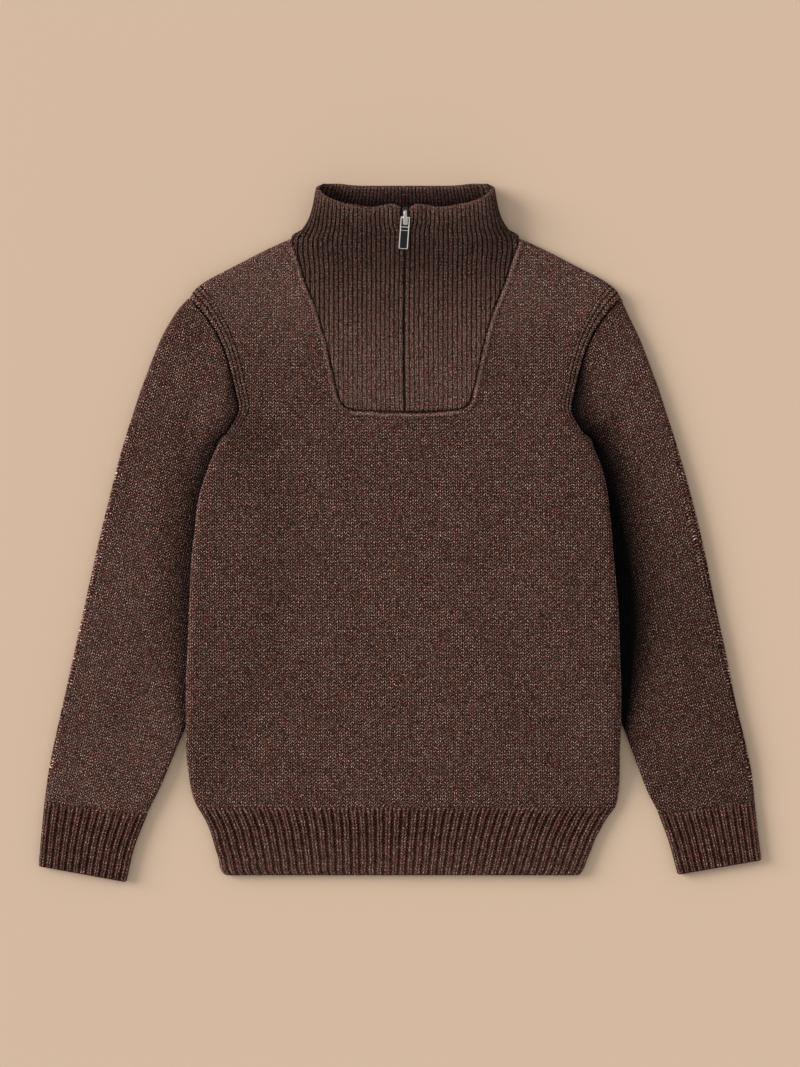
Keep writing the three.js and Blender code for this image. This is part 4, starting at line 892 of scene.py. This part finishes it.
# One half of the collar's front: ribs run straight up from the insert's seams to the rim, and towards
# the side they turn down over an ellipse to the fold.
def collarFront(sign):
    cells = neck["ribs"] * neck["samples"]
    share = np.arange(cells + 1) / cells
    place = share * neck["ribs"]
    toZip = share * neck["ribSpan"]
    rib = np.minimum(toZip, body["neckHalf"])
    bottomSeam = body["insertY"] - body["insertDip"] * (1 - (rib / body["insertHalf"]) ** 2) + halfGap
    yoke = np.array(body["yoke"], float)
    slantSeam = np.interp(rib, yoke[:, 4], yoke[:, 3])
    onBottom = rib <= body["insertHalf"]
    startY = np.where(onBottom, bottomSeam, slantSeam)
    startHalf = np.where(onBottom, rib, rib - halfGap)
    rimY = curveThrough(neck["rim"], 1, share)
    upShares = perRow(join([0, 0.004, 0.01, 0.02, 0.035], np.linspace(0.06, 1, 44)))
    y = join(mix(startY, rimY - neck["rimZone"], upShares), rimY - rimRows)
    toRim, fromSeam = rimY - y, y - startY
    flat, turnWidth, turnHeight = collarSides(y)
    turnLength = math.pi / 2 * np.sqrt((turnWidth ** 2 + turnHeight ** 2) / 2)
    whole = mix(neck["ribSpan"], flat + turnLength, ease(y, neck["turnFrom"], body["neckY"]))
    arc = neck["ribSpan"] * share + (whole - neck["ribSpan"]) * share ** 3
    half = arc + slitAt(y) * (1 - share) ** 4
    z = frontTop(arc, y)
    turned = arc > flat
    angle = np.where(turned, 90 * (1 - np.clip((arc - flat) / turnLength, 0, 1)), 90)
    half = np.where(turned, flat + turnWidth * cosine(angle), half)
    z = np.where(turned, turnHeight * (1 + sine(angle)), z)
    half = mix(np.maximum(startHalf, slitAt(y)), half, ease(fromSeam, 0, 8))
    up = sine(angle)
    z = z - neck["baseDrop"] * up

    plainAt = y + neck["plainRagged"] * unevenness(2 * arc, 0 * y, 9)
    plain = mix(*neck["plain"], ease(plainAt, *neck["plainY"]))
    ridges = neck["relief"] * ridge(place, neck["ridgeShare"]) * (1 - plain)
    onWelt = 1 - ease(toRim, neck["weltWidth"] - 0.8, neck["weltWidth"] + 0.4)
    rimWelt = neck["weltRise"] * np.sin(math.pi * np.clip(toRim / neck["weltWidth"], 0, 1)) ** 0.6
    relief = mix(ridges, neck["weltRibs"] * ridges + neck["weltFlat"] + rimWelt, onWelt)
    relief = relief - (seamDip(fromSeam) + 0.2 * (1 - ease(fromSeam, 0, 5))) * up
    relief = relief + humpAt(toZip, *neck["slitWelt"]) * (1 - onWelt) - humpAt(toZip, *neck["slitDip"])
    folds = sum(humpAt(toZip, *fold) for fold in neck["folds"])
    relief = relief + neck["foldRise"] * folds * ease(y, *neck["foldY"]) * up
    wave, waveLength, uneven = neck["slitRagged"]
    ragged = wave * np.sin(y / waveLength * math.tau + sign) + uneven * unevenness(4 * y, 40 * sign, 5)
    half = half + ragged * hump(toZip, 2.0)
    bend = -humpAt(y, *neck["slitBend"]) * hump(toZip, 25)
    outer, inner = wallPoints(middleX + bend + sign * half, y, z, sign, 0, angle, relief)
    outer, inner = roundEdge(outer, inner, toRim, neck["edgeRadius"])

    # a small mark beside the slit is made lighter
    markY, markHeight, markAway, markWidth = neck["lightMark"]
    lightMark = (sign > 0) * hump(toZip - markAway, markWidth) * hump(y - markY, markHeight)
    # painted shade on the standing part, in the seam at its foot and where it starts to rise
    inSeam, seamReach = neck["seamShade"]
    shade = neck["shade"] * ease(y, *neck["shadeY"]) * ease(toRim, 3, 16) + inSeam * hump(fromSeam, seamReach)
    shade = shade + humpAt(y, *neck["bendShade"])
    # painted light along the rim and on the small mark by the slit
    shade = shade - humpAt(toRim, *neck["rimLight"]) - neck["lightMarkStrength"] * lightMark
    uv = stack(place + 0 * y, (y - body["insertY"]) / cloth["courseHeight"])
    # the front's inner face carries the deepest painted shade of the mouth
    return outer, inner, uv, (shade, neck["insideShade"][1] + 0 * y), (plain, plain)


# The collar's back, whose outer face lies on the surface. It has a row for each of the front's.
def collarBack(rowCount):
    share = np.linspace(-1, 1, neck["backColumns"])[1:-1]
    out = np.abs(share)
    sign = np.sign(share) + (share == 0)
    seamY = body["neckY"] - body["neckDip"] * (1 - out ** 4) + cloth["seamGap"]
    rimY = neck["backRimY"] + neck["cornerRise"] * hump((out - 0.85) * 75, 13)
    up = perRow(np.linspace(0, 1, rowCount - len(rimRows)))
    y = join(mix(seamY, rimY - neck["rimZone"], up), rimY - rimRows)
    toRim = rimY - y
    flat, turnWidth, turnHeight = collarSides(y)
    t = np.clip((1 - out) / neck["backTurn"], 0, 1)
    angle = -90 * t
    inFlat = flat * np.clip(out / (1 - neck["backTurn"]), 0, 1)
    half = np.where(t < 1, flat + turnWidth * cosine(angle), inFlat)
    z = turnHeight * (1 + sine(angle))
    atSeam = 1 - ease(y - seamY, 0, 5)
    half, z = mix(half, body["neckHalf"] * out, atSeam), mix(z, 0, atSeam)
    angle = mix(angle + 0 * y, -90, atSeam)
    place = neck["ribs"] * (2 + share)
    outer, inner = wallPoints(middleX + sign * half, y, z, sign, 0, angle, 0)
    ribbed = neck["backRelief"] * ridge(place, neck["ridgeShare"])
    inner[..., 2] += ribbed * np.maximum(-sine(angle), 0) * ease(toRim, 2, 5)
    outer, inner = roundEdge(outer, inner, toRim, neck["edgeRadius"])
    uv = stack(place + 0 * y, (y - body["insertY"]) / cloth["courseHeight"])
    # painted shade inside the mouth, deeper away from the back's rim, with painted light on that rim
    inside = mix(*neck["insideShade"], ease(toRim, 3, 17)) * ease(toRim, 1, 4)
    inside = inside - humpAt(toRim, *neck["insideLight"])
    return outer, inner, uv, (0 * y, inside), (0 * y, 0 * y)


# The whole collar: the front's right half, the back and the front's left half, round from the slit.
def collar(name):
    right, left = collarFront(-1), collarFront(1)
    back = collarBack(right[0].shape[0])
    left[2][..., 0] = 4 * neck["ribs"] - left[2][..., 0]

    def around(a, b, c):
        return join(a, b, c[:, ::-1], axis=1)

    outer, inner, uv = (around(right[i], back[i], left[i]) for i in range(3))
    values = {
        key: [around(right[k][i], back[k][i], left[k][i]) for i in range(2)]
        for key, k in (("shade", 3), ("plain", 4))
    }
    return wallMesh(name, outer, inner, uv, values=values)


neckRib = collar("collar_rib")
print("collar made")

zipParts = {
    "toothPitch": 2.1,
    "toothSize": (1.5, 0.95, 1.0),
    "toothAway": 0.42,  # from the slit's middle
    "toothTaper": 0.62,
    "teethFrom": 106.5,
    "teethTo": 262,
    "teethDrop": 1.5,  # under the collar's face
    "sliderY": 269.9,
    "plateLength": 14.4,
    "plateHeight": 4.6,
    "plateTopHalf": 2.6,
    "plateBottomHalf": 3.2,
    "plateDrop": 2.3,
    "plateThickness": 1.3,
    "plateEdge": 0.45,
    "postLength": 5.5,  # between the two plates
    "postHalf": (1.0, 1.6),
    "postY": 3,
    "bridgeY": -3.6,
    "bridgeLength": 13,
    "bridgeWidth": 4,
    "bridgeHeight": 2.6,
    "bridgeWall": 0.7,
    "bridgeFoot": 0.6,  # its ends, below the plate's face
    "bridgeArch": 0.32,
    "bridgeFlare": 0.12,
    "bridgeNarrow": (0.62, -1, 3),  # width towards the rim, and between which places it gets so
    "pivotY": -3.3,
    "pivotZ": 0.95,
    "swing": -4,
    "pullLength": 27,
    "pullHalf": 4,
    "railWidth": 1.05,
    "pullThickness": 1.5,
    "panelThickness": 1.0,
    "panelFrom": 11.2,
    "windowBar": 8.1,  # a cross bar between the pin and the panel
    "windowFrom": 7.3,
    "webThickness": 0.4,
    "pinRadius": 0.65,
    "barRadius": 0.4,
    "railEnds": (0.6, 0.7),  # past the pin, and short of the pull's end
}


# Teeth of the closed zip: small blocks that lean in turn on one side and the other of the slit.
def zipTeeth(name):
    count = int((zipParts["teethTo"] - zipParts["teethFrom"]) / zipParts["toothPitch"] * 2)
    index = np.arange(count)
    y = zipParts["teethFrom"] + index * zipParts["toothPitch"] / 2
    x = middleX + np.where(index % 2, 1, -1) * zipParts["toothAway"]
    z = frontTop(0 * y, y) - zipParts["teethDrop"]
    base = np.array([(-1, -1), (1, -1), (1, 1), (-1, 1)])
    corner = np.array([(*xy, level) for level in (-1, 1) for xy in base])
    taper = np.where(corner[:, 2:] > 0, zipParts["toothTaper"], 1.0)
    narrowed = join(taper, taper, np.ones_like(taper), axis=1)
    block = corner * np.array(zipParts["toothSize"]) / 2 * narrowed
    points = stack(x, y, z)[:, None] + block
    faces = np.array([(0, 3, 2, 1), (4, 5, 6, 7), (0, 1, 5, 4), (1, 2, 6, 5), (2, 3, 7, 6), (3, 0, 4, 7)])
    quads = (index[:, None, None] * 8 + faces).reshape(-1, 4)
    return meshFromQuads(name, points.reshape(-1, 3), quads, sharpAngle=30)


def turnedBy(a, b, angle):  # a plane's two coordinates, turned about its origin
    return a * math.cos(angle) - b * math.sin(angle), a * math.sin(angle) + b * math.cos(angle)


# Places points drawn about the slider's middle on the slope of the collar.
def onSlider(points):
    tilt = math.atan(body["mouthRise"] / (body["riseTo"] - body["riseFrom"]))
    top = float(frontTop(0.0, zipParts["sliderY"]))
    above = zipParts["plateHeight"] - neck["baseDrop"] - cloth["wall"]
    x, y, z = points[..., 0], points[..., 1], points[..., 2]
    turnedY, turnedZ = turnedBy(y, z, tilt)
    return stack(middleX + x, zipParts["sliderY"] + turnedY, top + above + turnedZ)


def onPull(points):  # from the pin's middle, with the pull hanging a little aslant
    x, y = turnedBy(points[..., 0], points[..., 1], math.radians(zipParts["swing"]))
    return onSlider(stack(x, y, points[..., 2]) + [0, zipParts["pivotY"], zipParts["pivotZ"]])


# A solid of closed rings laid one after another, shape (rings, points, 3), its ends closed to a point
# at their middle.
def ringSolid(rings):
    count, around = rings.shape[:2]
    first, last = (np.broadcast_to(rings[i].mean(0), (1, around, 3)) for i in (0, -1))
    rings = join(first, rings, last)
    r, c = np.meshgrid(np.arange(count + 1), np.arange(around), indexing="ij")
    n = (c + 1) % around
    quads = stack(r * around + c, r * around + n, (r + 1) * around + n, (r + 1) * around + c)
    return rings.reshape(-1, 3), quads.reshape(-1, 4)


def joinSolids(solids):
    points, quads, start = [], [], 0
    for solidPoints, solidQuads in solids:
        if signedVolume(solidPoints, solidQuads) < 0:
            solidQuads = solidQuads[:, ::-1]
        points.append(solidPoints)
        quads.append(solidQuads + start)
        start += len(solidPoints)
    return np.concatenate(points), np.concatenate(quads)


# Cosine and sine round a turn, drawn out to a rounded rectangle by a power below 1.
def squared(count, powerAcross, powerAlong):
    t = np.linspace(0, math.tau, count, endpoint=False)
    pairs = ((np.cos(t), powerAcross), (np.sin(t), powerAlong))
    return (np.sign(value) * np.abs(value) ** power for value, power in pairs)


# A plate whose outline is a rounded rectangle that narrows along y, with its edges rounded over.
def roundedPlate(length, halves, bottom, top, edge):
    across, along = squared(64, 0.4, 0.4)
    turns = np.linspace(0, 90, 5)
    inset, lift = edge * (1 - sine(turns)), edge * (1 - cosine(turns))
    insets = perRow(join(inset, inset[::-1]))
    levels = perRow(join(bottom + lift, top - lift[::-1]))
    y = along * (length / 2 - insets)
    half = mix(*halves, (along + 1) / 2) - insets
    return ringSolid(stack(across * half, y, levels))


# A bar of rounded section swept along points in the (y, z) plane, at x.
def sweptBar(path, halfWidth, halfThickness, x):
    path = np.array(path, float)
    ahead = np.gradient(path, axis=0)
    ahead /= np.linalg.norm(ahead, axis=1)[:, None]
    wide, thick = squared(20, 0.5, 0.6)
    y = path[:, :1] - ahead[:, 1:] * thick * halfThickness
    z = path[:, 1:] + ahead[:, :1] * thick * halfThickness
    return ringSolid(stack(x + wide * halfWidth, y, z))


# Two plates, one over and one under the teeth, with a post between them towards the rim.
def sliderBody(name):
    height, thick, edge = (zipParts[key] for key in ("plateHeight", "plateThickness", "plateEdge"))
    halves = (zipParts["plateBottomHalf"], zipParts["plateTopHalf"])
    plates = [
        roundedPlate(zipParts["plateLength"], halves, top - thick, top, edge) for top in (0, thick - height)
    ]
    post, postQuads = roundedPlate(zipParts["postLength"], zipParts["postHalf"], 1 - height, -1, 0.2)
    points, quads = joinSolids([*plates, (post + [0, zipParts["postY"], 0], postQuads)])
    return meshFromQuads(name, onSlider(points - [0, zipParts["plateDrop"], 0]), quads, sharpAngle=40)


# The arch that the pull hangs on: a flat bar that rises steeply at its ends, wide below, narrow above.
def sliderBridge(name):
    end, foot = zipParts["bridgeLength"] / 2, zipParts["bridgeFoot"]
    t = np.linspace(0, 1, 26)
    y = -end + 2 * end * t
    rise = zipParts["bridgeHeight"] - zipParts["bridgeWall"] / 2 + foot
    z = -foot + rise * np.sin(math.pi * t) ** zipParts["bridgeArch"]
    halfWidth, halfWall = zipParts["bridgeWidth"] / 2, zipParts["bridgeWall"] / 2
    points, quads = sweptBar(stack(y, z), halfWidth, halfWall, 0)
    narrow, narrowFrom, narrowTo = zipParts["bridgeNarrow"]
    flare = 1 + zipParts["bridgeFlare"] * np.cos(points[:, 1:2] / end * math.pi / 2)
    spread = mix(flare, narrow, ease(points[:, 1:2], narrowFrom, narrowTo))
    points = points * join(spread, np.ones_like(spread), np.ones_like(spread), axis=1)
    return meshFromQuads(name, onSlider(points + [0, zipParts["bridgeY"], 0]), quads, sharpAngle=50)


# The pull's frame: two rails, the pin that goes through the bridge, and bars across.
def pullFrame(name):
    length, half = zipParts["pullLength"], zipParts["pullHalf"]
    rail, thick = zipParts["railWidth"] / 2, zipParts["pullThickness"] / 2
    pastPin, shortOfEnd = zipParts["railEnds"]
    along = np.linspace(pastPin, -length + shortOfEnd, 30)
    path = stack(along, 0 * along)
    solids = [sweptBar(path, rail, thick, sign * (half - rail)) for sign in (-1, 1)]
    t = np.linspace(0, math.tau, 20, endpoint=False)
    across = np.linspace(-half + rail, half - rail, 12)
    bars = [  # y, half its width along the pull, half its thickness
        (0, zipParts["pinRadius"], zipParts["pinRadius"]),
        (-zipParts["windowBar"], zipParts["barRadius"], zipParts["barRadius"]),
        (-zipParts["panelFrom"] + 0.2, 0.35, thick - 0.1),
        (-length + 0.5, 0.45, thick - 0.15),
    ]
    for y, radius, flat in bars:
        ring = stack(0 * t, radius * np.cos(t), flat * np.sin(t))
        solids.append(ringSolid(across[:, None, None] * np.array([1, 0, 0]) + ring + [0, y, 0]))
    points, quads = joinSolids(solids)
    return meshFromQuads(name, onPull(points), quads, sharpAngle=50)


# The dark panel in the frame, and a thinner web in the window above it.
def pullPanel(name):
    half = zipParts["pullHalf"] - zipParts["railWidth"] * 0.7
    thick = zipParts["panelThickness"] / 2
    panelEnd = zipParts["pullLength"] - zipParts["railEnds"][1]
    plates = [  # from, to, top, edge
        (zipParts["panelFrom"], panelEnd, thick, 0.15),
        (zipParts["windowFrom"], zipParts["panelFrom"], -thick + zipParts["webThickness"], 0.1),
    ]
    solids = []
    for start, end, top, edge in plates:
        plate, quads = roundedPlate(end - start, (half, half), -thick, top, edge)
        solids.append((plate - [0, (start + end) / 2, 0], quads))
    points, quads = joinSolids(solids)
    return meshFromQuads(name, onPull(points), quads, sharpAngle=40)


teeth = zipTeeth("zip_teeth")
slider = sliderBody("zip_slider_body")
bridge = sliderBridge("zip_slider_bridge")
pull = pullFrame("zip_pull_frame")
panel = pullPanel("zip_pull_panel")
print("zip made")


class Wire:  # a socket that can be used in arithmetic; each expression adds its Math nodes
    def __init__(self, tree, socket):
        self.tree, self.socket = tree, socket

    def math(self, operation, other=0.0, swapped=False):
        values = {0: other, 1: self} if swapped else {0: self, 1: other}
        made = addNode(self.tree, "ShaderNodeMath", {"operation": operation}, values)
        return Wire(self.tree, made.outputs[0])

    def clamped(self):
        return self.math("MAXIMUM", 0.0).math("MINIMUM", 1.0)

    def __add__(self, other): return self.math("ADD", other)
    def __radd__(self, other): return self.math("ADD", other)
    def __sub__(self, other): return self.math("SUBTRACT", other)
    def __rsub__(self, other): return self.math("SUBTRACT", other, swapped=True)
    def __mul__(self, other): return self.math("MULTIPLY", other)
    def __rmul__(self, other): return self.math("MULTIPLY", other)
    def __truediv__(self, other): return self.math("DIVIDE", other)
    def __rtruediv__(self, other): return self.math("DIVIDE", other, swapped=True)


# Any node: its settings first, then the values or links of its sockets by name or place.
def addNode(tree, kind, settings, sockets):
    made = tree.nodes.new(kind)
    for key, value in settings.items():
        if key == "stops":
            ramp = made.color_ramp
            while len(ramp.elements) < len(value):
                ramp.elements.new(1)
            for element, (place, colour) in zip(ramp.elements, value):
                element.position, element.color = place, colour
        else:
            setattr(made, key, value)
    for key, value in sockets.items():
        if isinstance(value, Wire):
            tree.links.new(value.socket, made.inputs[key])
        else:
            made.inputs[key].default_value = value
    return made


def linear(red, green, blue):  # a colour as seen on a screen, 0 to 255, in the renderer's values
    parts = [((c / 255 + 0.055) / 1.055) ** 2.4 if c > 10 else c / 255 / 12.92 for c in (red, green, blue)]
    return (*parts, 1)


def newMaterial(name, colour, roughness, metallic=0.0, **rest):
    made = bpy.data.materials.new(name)
    made.use_nodes = True
    shader = made.node_tree.nodes["Principled BSDF"]
    shader.inputs["Base Color"].default_value = colour
    shader.inputs["Roughness"].default_value = roughness
    shader.inputs["Metallic"].default_value = metallic
    for key, value in rest.items():
        shader.inputs[key.replace("_", " ")].default_value = value
    return made, made.node_tree, shader


wool = {
    # yarn shades from the darkest stitch to the lightest fleck
    "shades": [
        (0.0, linear(24, 9, 6)), (0.4, linear(70, 47, 40)), (0.7, linear(104, 81, 74)),
        (1.0, linear(168, 145, 137)),
    ],
    "red": (1.08, 0.96, 0.93, 1),
    "grey": (0.93, 1.03, 1.02, 1),
    "meanShade": 0.39,
    "legs": 0.22,  # how much one stitch's leg differs from the next
    "courses": 0.12,  # how much the yarn changes along a course
    "patches": 0.08,
    # noises in the yarn: how close across and up the cloth, detail, and an offset that keeps them apart
    "alongCourse": (0.3, 0.9, 3.0, 2.0),
    "patch": (0.05, 0.06, 2.0, 7.0),
    "hue": (0.22, 0.5, 2.0, 15.0),
    "fleck": (3.6, 3.6, 1.0, 22.0),
    "loose": (5.5, 3.0, 2.0, 31.0),
    "redShare": (0.4, 5),  # hue above which the yarn turns from red to grey, and how fast
    "wobble": (0.2, 0.5),  # of the columns sideways, and of the courses up and down
    "stroke": (2.4, 1.45),  # how sharply a strand stands up, and how narrow it is
    "legSpread": 1.7,  # how fast the legs rise from where they meet
    "purl": (0.5, 0.3),  # in a groove: how narrow its loops are, and how bright
    "depth": 0.0012,  # of the bump, metres
    "fibres": 0.25,  # share of loose fibres in the bump
    "groove": 0.005,  # brightness left between stitches, where the gaps are partly painted shade
    "gapTint": (0.21, 0.06, 0.02),  # of the yarn's red, green and blue left in the gaps
    "crest": 5.8,  # brightness of a strand's crest
    "filled": 3.0,  # brightness where the gaps catch light
    "inCrease": 0.02,  # brightness left under the deepest painted shade
    "finish": {
        "Sheen_Weight": 0.012,
        "Sheen_Roughness": 0.45,
        "Sheen_Tint": linear(190, 165, 150),
        "Specular_IOR_Level": 0.06,
    },
}


# Knitted wool. Across a column of stitches, side runs from 0 in its middle to 1 at its edge, and the
# courses rise outwards with it, which draws the V of two legs. A leg stands up as a rounded strand.
# legsMeet is the height left between the legs, joined that between one stitch and the next, and steep
# how fast the column falls off to its edges. On a rib the knitted column takes only its share of the
# width and the rest sinks into a groove.
def knit(name, waleShare, ribWidth, slope, brightness, legsMeet, joined, steep, flecks):
    material, tree, shader = newMaterial(name, wool["shades"][1][1], 0.95, **wool["finish"])

    def wire(kind, settings, sockets, output=0):
        return Wire(tree, addNode(tree, kind, settings, sockets).outputs[output])

    def attribute(key):
        return wire("ShaderNodeAttribute", {"attribute_name": key}, {}, 2)

    place = wire("ShaderNodeUVMap", {"uv_map": "stitches"}, {})
    split = addNode(tree, "ShaderNodeSeparateXYZ", {}, {0: place})
    u, v = (Wire(tree, split.outputs[i]) for i in range(2))
    shift = wire("ShaderNodeTexNoise", {"noise_dimensions": "2D"}, {
        "Vector": place, "Scale": 0.55, "Detail": 2.0, "Roughness": 0.6,
    }) - 0.5
    u = u + shift * wool["wobble"][0]
    v = v + shift * wool["wobble"][1]
    knitted = waleShare + attribute("plain") * (1 - waleShare)
    across = (u.math("FRACT") - 0.5).math("ABSOLUTE") * 2 / knitted
    side = across.math("MINIMUM", 1.0)
    course = v - side * slope
    sharp, narrow = wool["stroke"]
    stroke = ((course.math("FRACT") * math.pi).math("SINE") * sharp - narrow).clamped()
    middle = (legsMeet + side * wool["legSpread"]).clamped()
    border = ((1.0 - side) * steep).clamped()
    strand = (joined + stroke * (1 - joined)) * middle * border
    if waleShare < 1:
        inGroove = ((across - 1.0) * 8).clamped()
        narrow, bright = wool["purl"]
        purl = ((v * math.pi).math("SINE").math("ABSOLUTE") - narrow).clamped() * bright
        strand = strand * (1.0 - inGroove) + purl * inGroove

    # yarn: each leg has its own shade, and flecks, slow changes along a course and wide patches add to it
    leg = wire("ShaderNodeCombineXYZ", {}, {0: (u * 2).math("FLOOR"), 1: course.math("FLOOR"), 2: 0.0})
    legShade = wire("ShaderNodeTexWhiteNoise", {"noise_dimensions": "2D"}, {"Vector": leg})

    def noise(key):
        scaleU, scaleV, detail, offset = wool[key]
        scaleU = scaleU * ribWidth / cloth["courseHeight"]
        vector = wire("ShaderNodeCombineXYZ", {}, {0: u * scaleU, 1: v * scaleV, 2: offset})
        return wire("ShaderNodeTexNoise", {"noise_dimensions": "3D"}, {
            "Vector": vector, "Scale": 1.0, "Detail": detail, "Roughness": 0.62,
        })

    def blend(kind, factor, a, b):
        return wire("ShaderNodeMix", {"data_type": "RGBA", "blend_type": kind}, {0: factor, 6: a, 7: b}, 2)

    shade = wool["meanShade"] + (legShade - 0.5) * wool["legs"] + (noise("fleck") - 0.5) * flecks
    shade = shade + (noise("alongCourse") - 0.5) * wool["courses"] + (noise("patch") - 0.5) * wool["patches"]
    yarn = wire("ShaderNodeValToRGB", {"stops": wool["shades"]}, {0: shade})
    redShare, sharpness = wool["redShare"]
    cast = blend("MIX", ((noise("hue") - redShare) * sharpness).clamped(), wool["red"], wool["grey"])
    yarn = blend("MULTIPLY", 1.0, yarn, cast)

    # painted shade and light carried by each piece: above 0 painted shade deep in a fold,
    # below 0 painted light where the gaps between stitches catch light
    paintedShadeAndLight = attribute("shade")
    lit = 1.0 - paintedShadeAndLight.clamped() * (1 - wool["inCrease"])
    # stitch pattern in the colour: the dark gaps between strands are partly painted shade; below 0 the
    # attribute fills them with painted light
    cavity = wool["groove"] + strand * (wool["crest"] - wool["groove"])
    cavity = cavity + (wool["filled"] - cavity) * (paintedShadeAndLight * -1.0).clamped()
    cavity = cavity * brightness * lit
    gapsAndPaintedShade = wire("ShaderNodeCombineColor", {}, {
        i: cavity + lit * tinge for i, tinge in enumerate(wool["gapTint"])
    })
    colour = blend("MULTIPLY", 1.0, yarn, gapsAndPaintedShade)
    height = strand + noise("loose") * wool["fibres"]
    bump = wire("ShaderNodeBump", {}, {"Height": height, "Distance": wool["depth"], "Strength": 1.0})
    tree.links.new(colour.socket, shader.inputs["Base Color"])
    tree.links.new(bump.socket, shader.inputs["Normal"])
    return material


jersey = knit(
    "wool_jersey", waleShare=1.0, ribWidth=cloth["waleWidth"], slope=0.95, brightness=0.70,
    legsMeet=0.1, joined=0.05, steep=2.2, flecks=4.6,
)
wideRib = knit(
    "wool_wide_rib", waleShare=0.70, ribWidth=7.2, slope=0.6, brightness=0.60,
    legsMeet=0.0, joined=0.35, steep=2.0, flecks=2.8,
)
neckRibWool = knit(
    "wool_neck_rib", waleShare=0.84, ribWidth=4.04, slope=0.7, brightness=0.268,
    legsMeet=0.6, joined=0.5, steep=2.6, flecks=5.0,
)

tapeMaterial = newMaterial("woven_tape", linear(40, 30, 26), 0.9)[0]
toothMaterial = newMaterial("zip_teeth_nylon", linear(24, 18, 16), 0.5)[0]
blackMetal = newMaterial("black_enamel", linear(17, 13, 11), 0.45, 0.1, Coat_Weight=0.05)[0]
paleMetal = newMaterial("polished_metal", linear(205, 196, 182), 0.24, 1.0)[0]
brightMetal = newMaterial("bright_metal", linear(242, 238, 234), 0.2, 1.0)[0]
darkPanel = newMaterial("dark_panel", linear(15, 15, 12), 0.42, 0.0, Specular_IOR_Level=0.3)[0]
print("materials made")

looks = [
    # piece, CAD nodes it stands for, body, slot, material
    (frontPanel, ["front_panel"], "garment", "jersey", jersey),
    (backPanel, ["back_panel"], "garment", "jersey", jersey),
    (rightSleeve, ["sleeve_right"], "garment", "jersey", jersey),
    (leftSleeve, ["sleeve_left"], "garment", "jersey", jersey),
    (rightCuff, ["cuff_right"], "garment", "rib", wideRib),
    (leftCuff, ["cuff_left"], "garment", "rib", wideRib),
    (frontHem, ["hem_front"], "garment", "rib", wideRib),
    (backHem, ["hem_back"], "garment", "rib", wideRib),
    (neckRib, ["collar"], "garment", "rib", neckRibWool),
    (teeth, [], "garment", "zip_tape", toothMaterial),
    (slider, ["zip_slider"], "garment", "slider_metal", blackMetal),
    (bridge, [], "garment", "pull_metal", paleMetal),
    (pull, ["zip_pull"], "pull_tab", "pull_metal", brightMetal),
    (panel, [], "pull_tab", "slider_metal", darkPanel),
]
for piece, nodes, bodyName, slotName, material in looks:
    piece.data.materials.append(material)
    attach(piece, bodyName)
    if nodes:
        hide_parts(*nodes)
for name in ("zip_tape_right", "zip_tape_left"):
    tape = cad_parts[name]
    tape.data.materials.clear()
    tape.data.materials.append(tapeMaterial)

# what each sheet was cut to, in metres: width and length, area, and what it lies on
cuts = [
    (frontPanel, (0.370, 0.485), 0.137, [backPanel]),
    (backPanel, (0.370, 0.490), 0.158, [rightSleeve, leftSleeve]),
    (rightSleeve, (0.210, 0.440), 0.083, []),
    (leftSleeve, (0.210, 0.440), 0.077, []),
    (rightCuff, (0.155, 0.060), 0.0093, []),
    (leftCuff, (0.155, 0.060), 0.0093, []),
    (frontHem, (0.356, 0.058), 0.0200, [backHem]),
    (backHem, (0.356, 0.058), 0.0200, []),
    (neckRib, (0.440, 0.195), 0.039, [backPanel]),
]
for piece, flat, area, below in cuts:
    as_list(below)

studio = {
    "floorSize": 24.0,
    "floorDrop": 0.0002,
    "floor": linear(213.2, 185.8, 159.6),
    "camera": (0, -0.0001, 3.012),  # metres
    "distance": 3.0,  # to the sweater's middle height
    "pictureHeight": 0.9070,  # of the ground in the picture, metres
    "sensor": 36.0,
    "keyFrom": (-0.85, 0.28, 0.44),
    "keyAngle": 34,  # degrees across, for soft shadows
    "keyPower": 2.75,
    "world": 0.60,
}


# The floor, one wide soft sun, an even white world and the camera straight above.
def buildStudio():
    scene = bpy.context.scene
    half = studio["floorSize"] / 2
    mesh = bpy.data.meshes.new("floor")
    corners = [(-half, -half, 0), (half, -half, 0), (half, half, 0), (-half, half, 0)]
    mesh.from_pydata(corners, [], [(0, 1, 2, 3)])
    floor = bpy.data.objects.new("floor", mesh)
    scene.collection.objects.link(floor)
    floor.location.z = -studio["floorDrop"]
    floor.data.materials.append(newMaterial("pale_floor", studio["floor"], 0.9)[0])
    light = bpy.data.lights.new("key_light", "SUN")
    light.angle, light.energy = math.radians(studio["keyAngle"]), studio["keyPower"]
    key = bpy.data.objects.new("key_light", light)
    key.rotation_euler = Vector(studio["keyFrom"]).to_track_quat("Z", "Y").to_euler()
    scene.collection.objects.link(key)
    world = bpy.data.worlds.new("studio")
    world.use_nodes = True
    background = world.node_tree.nodes["Background"]
    background.inputs["Color"].default_value = (1.0, 1.0, 1.0, 1)
    background.inputs["Strength"].default_value = studio["world"]
    scene.world = world
    lens = bpy.data.cameras.new("camera")
    lens.sensor_width = studio["sensor"]
    lens.lens = studio["sensor"] * studio["distance"] / studio["pictureHeight"]
    camera = bpy.data.objects.new("camera", lens)
    camera.location = studio["camera"]
    scene.collection.objects.link(camera)
    scene.camera = camera
    scene.view_settings.view_transform = "Standard"


buildStudio()
print("studio made")
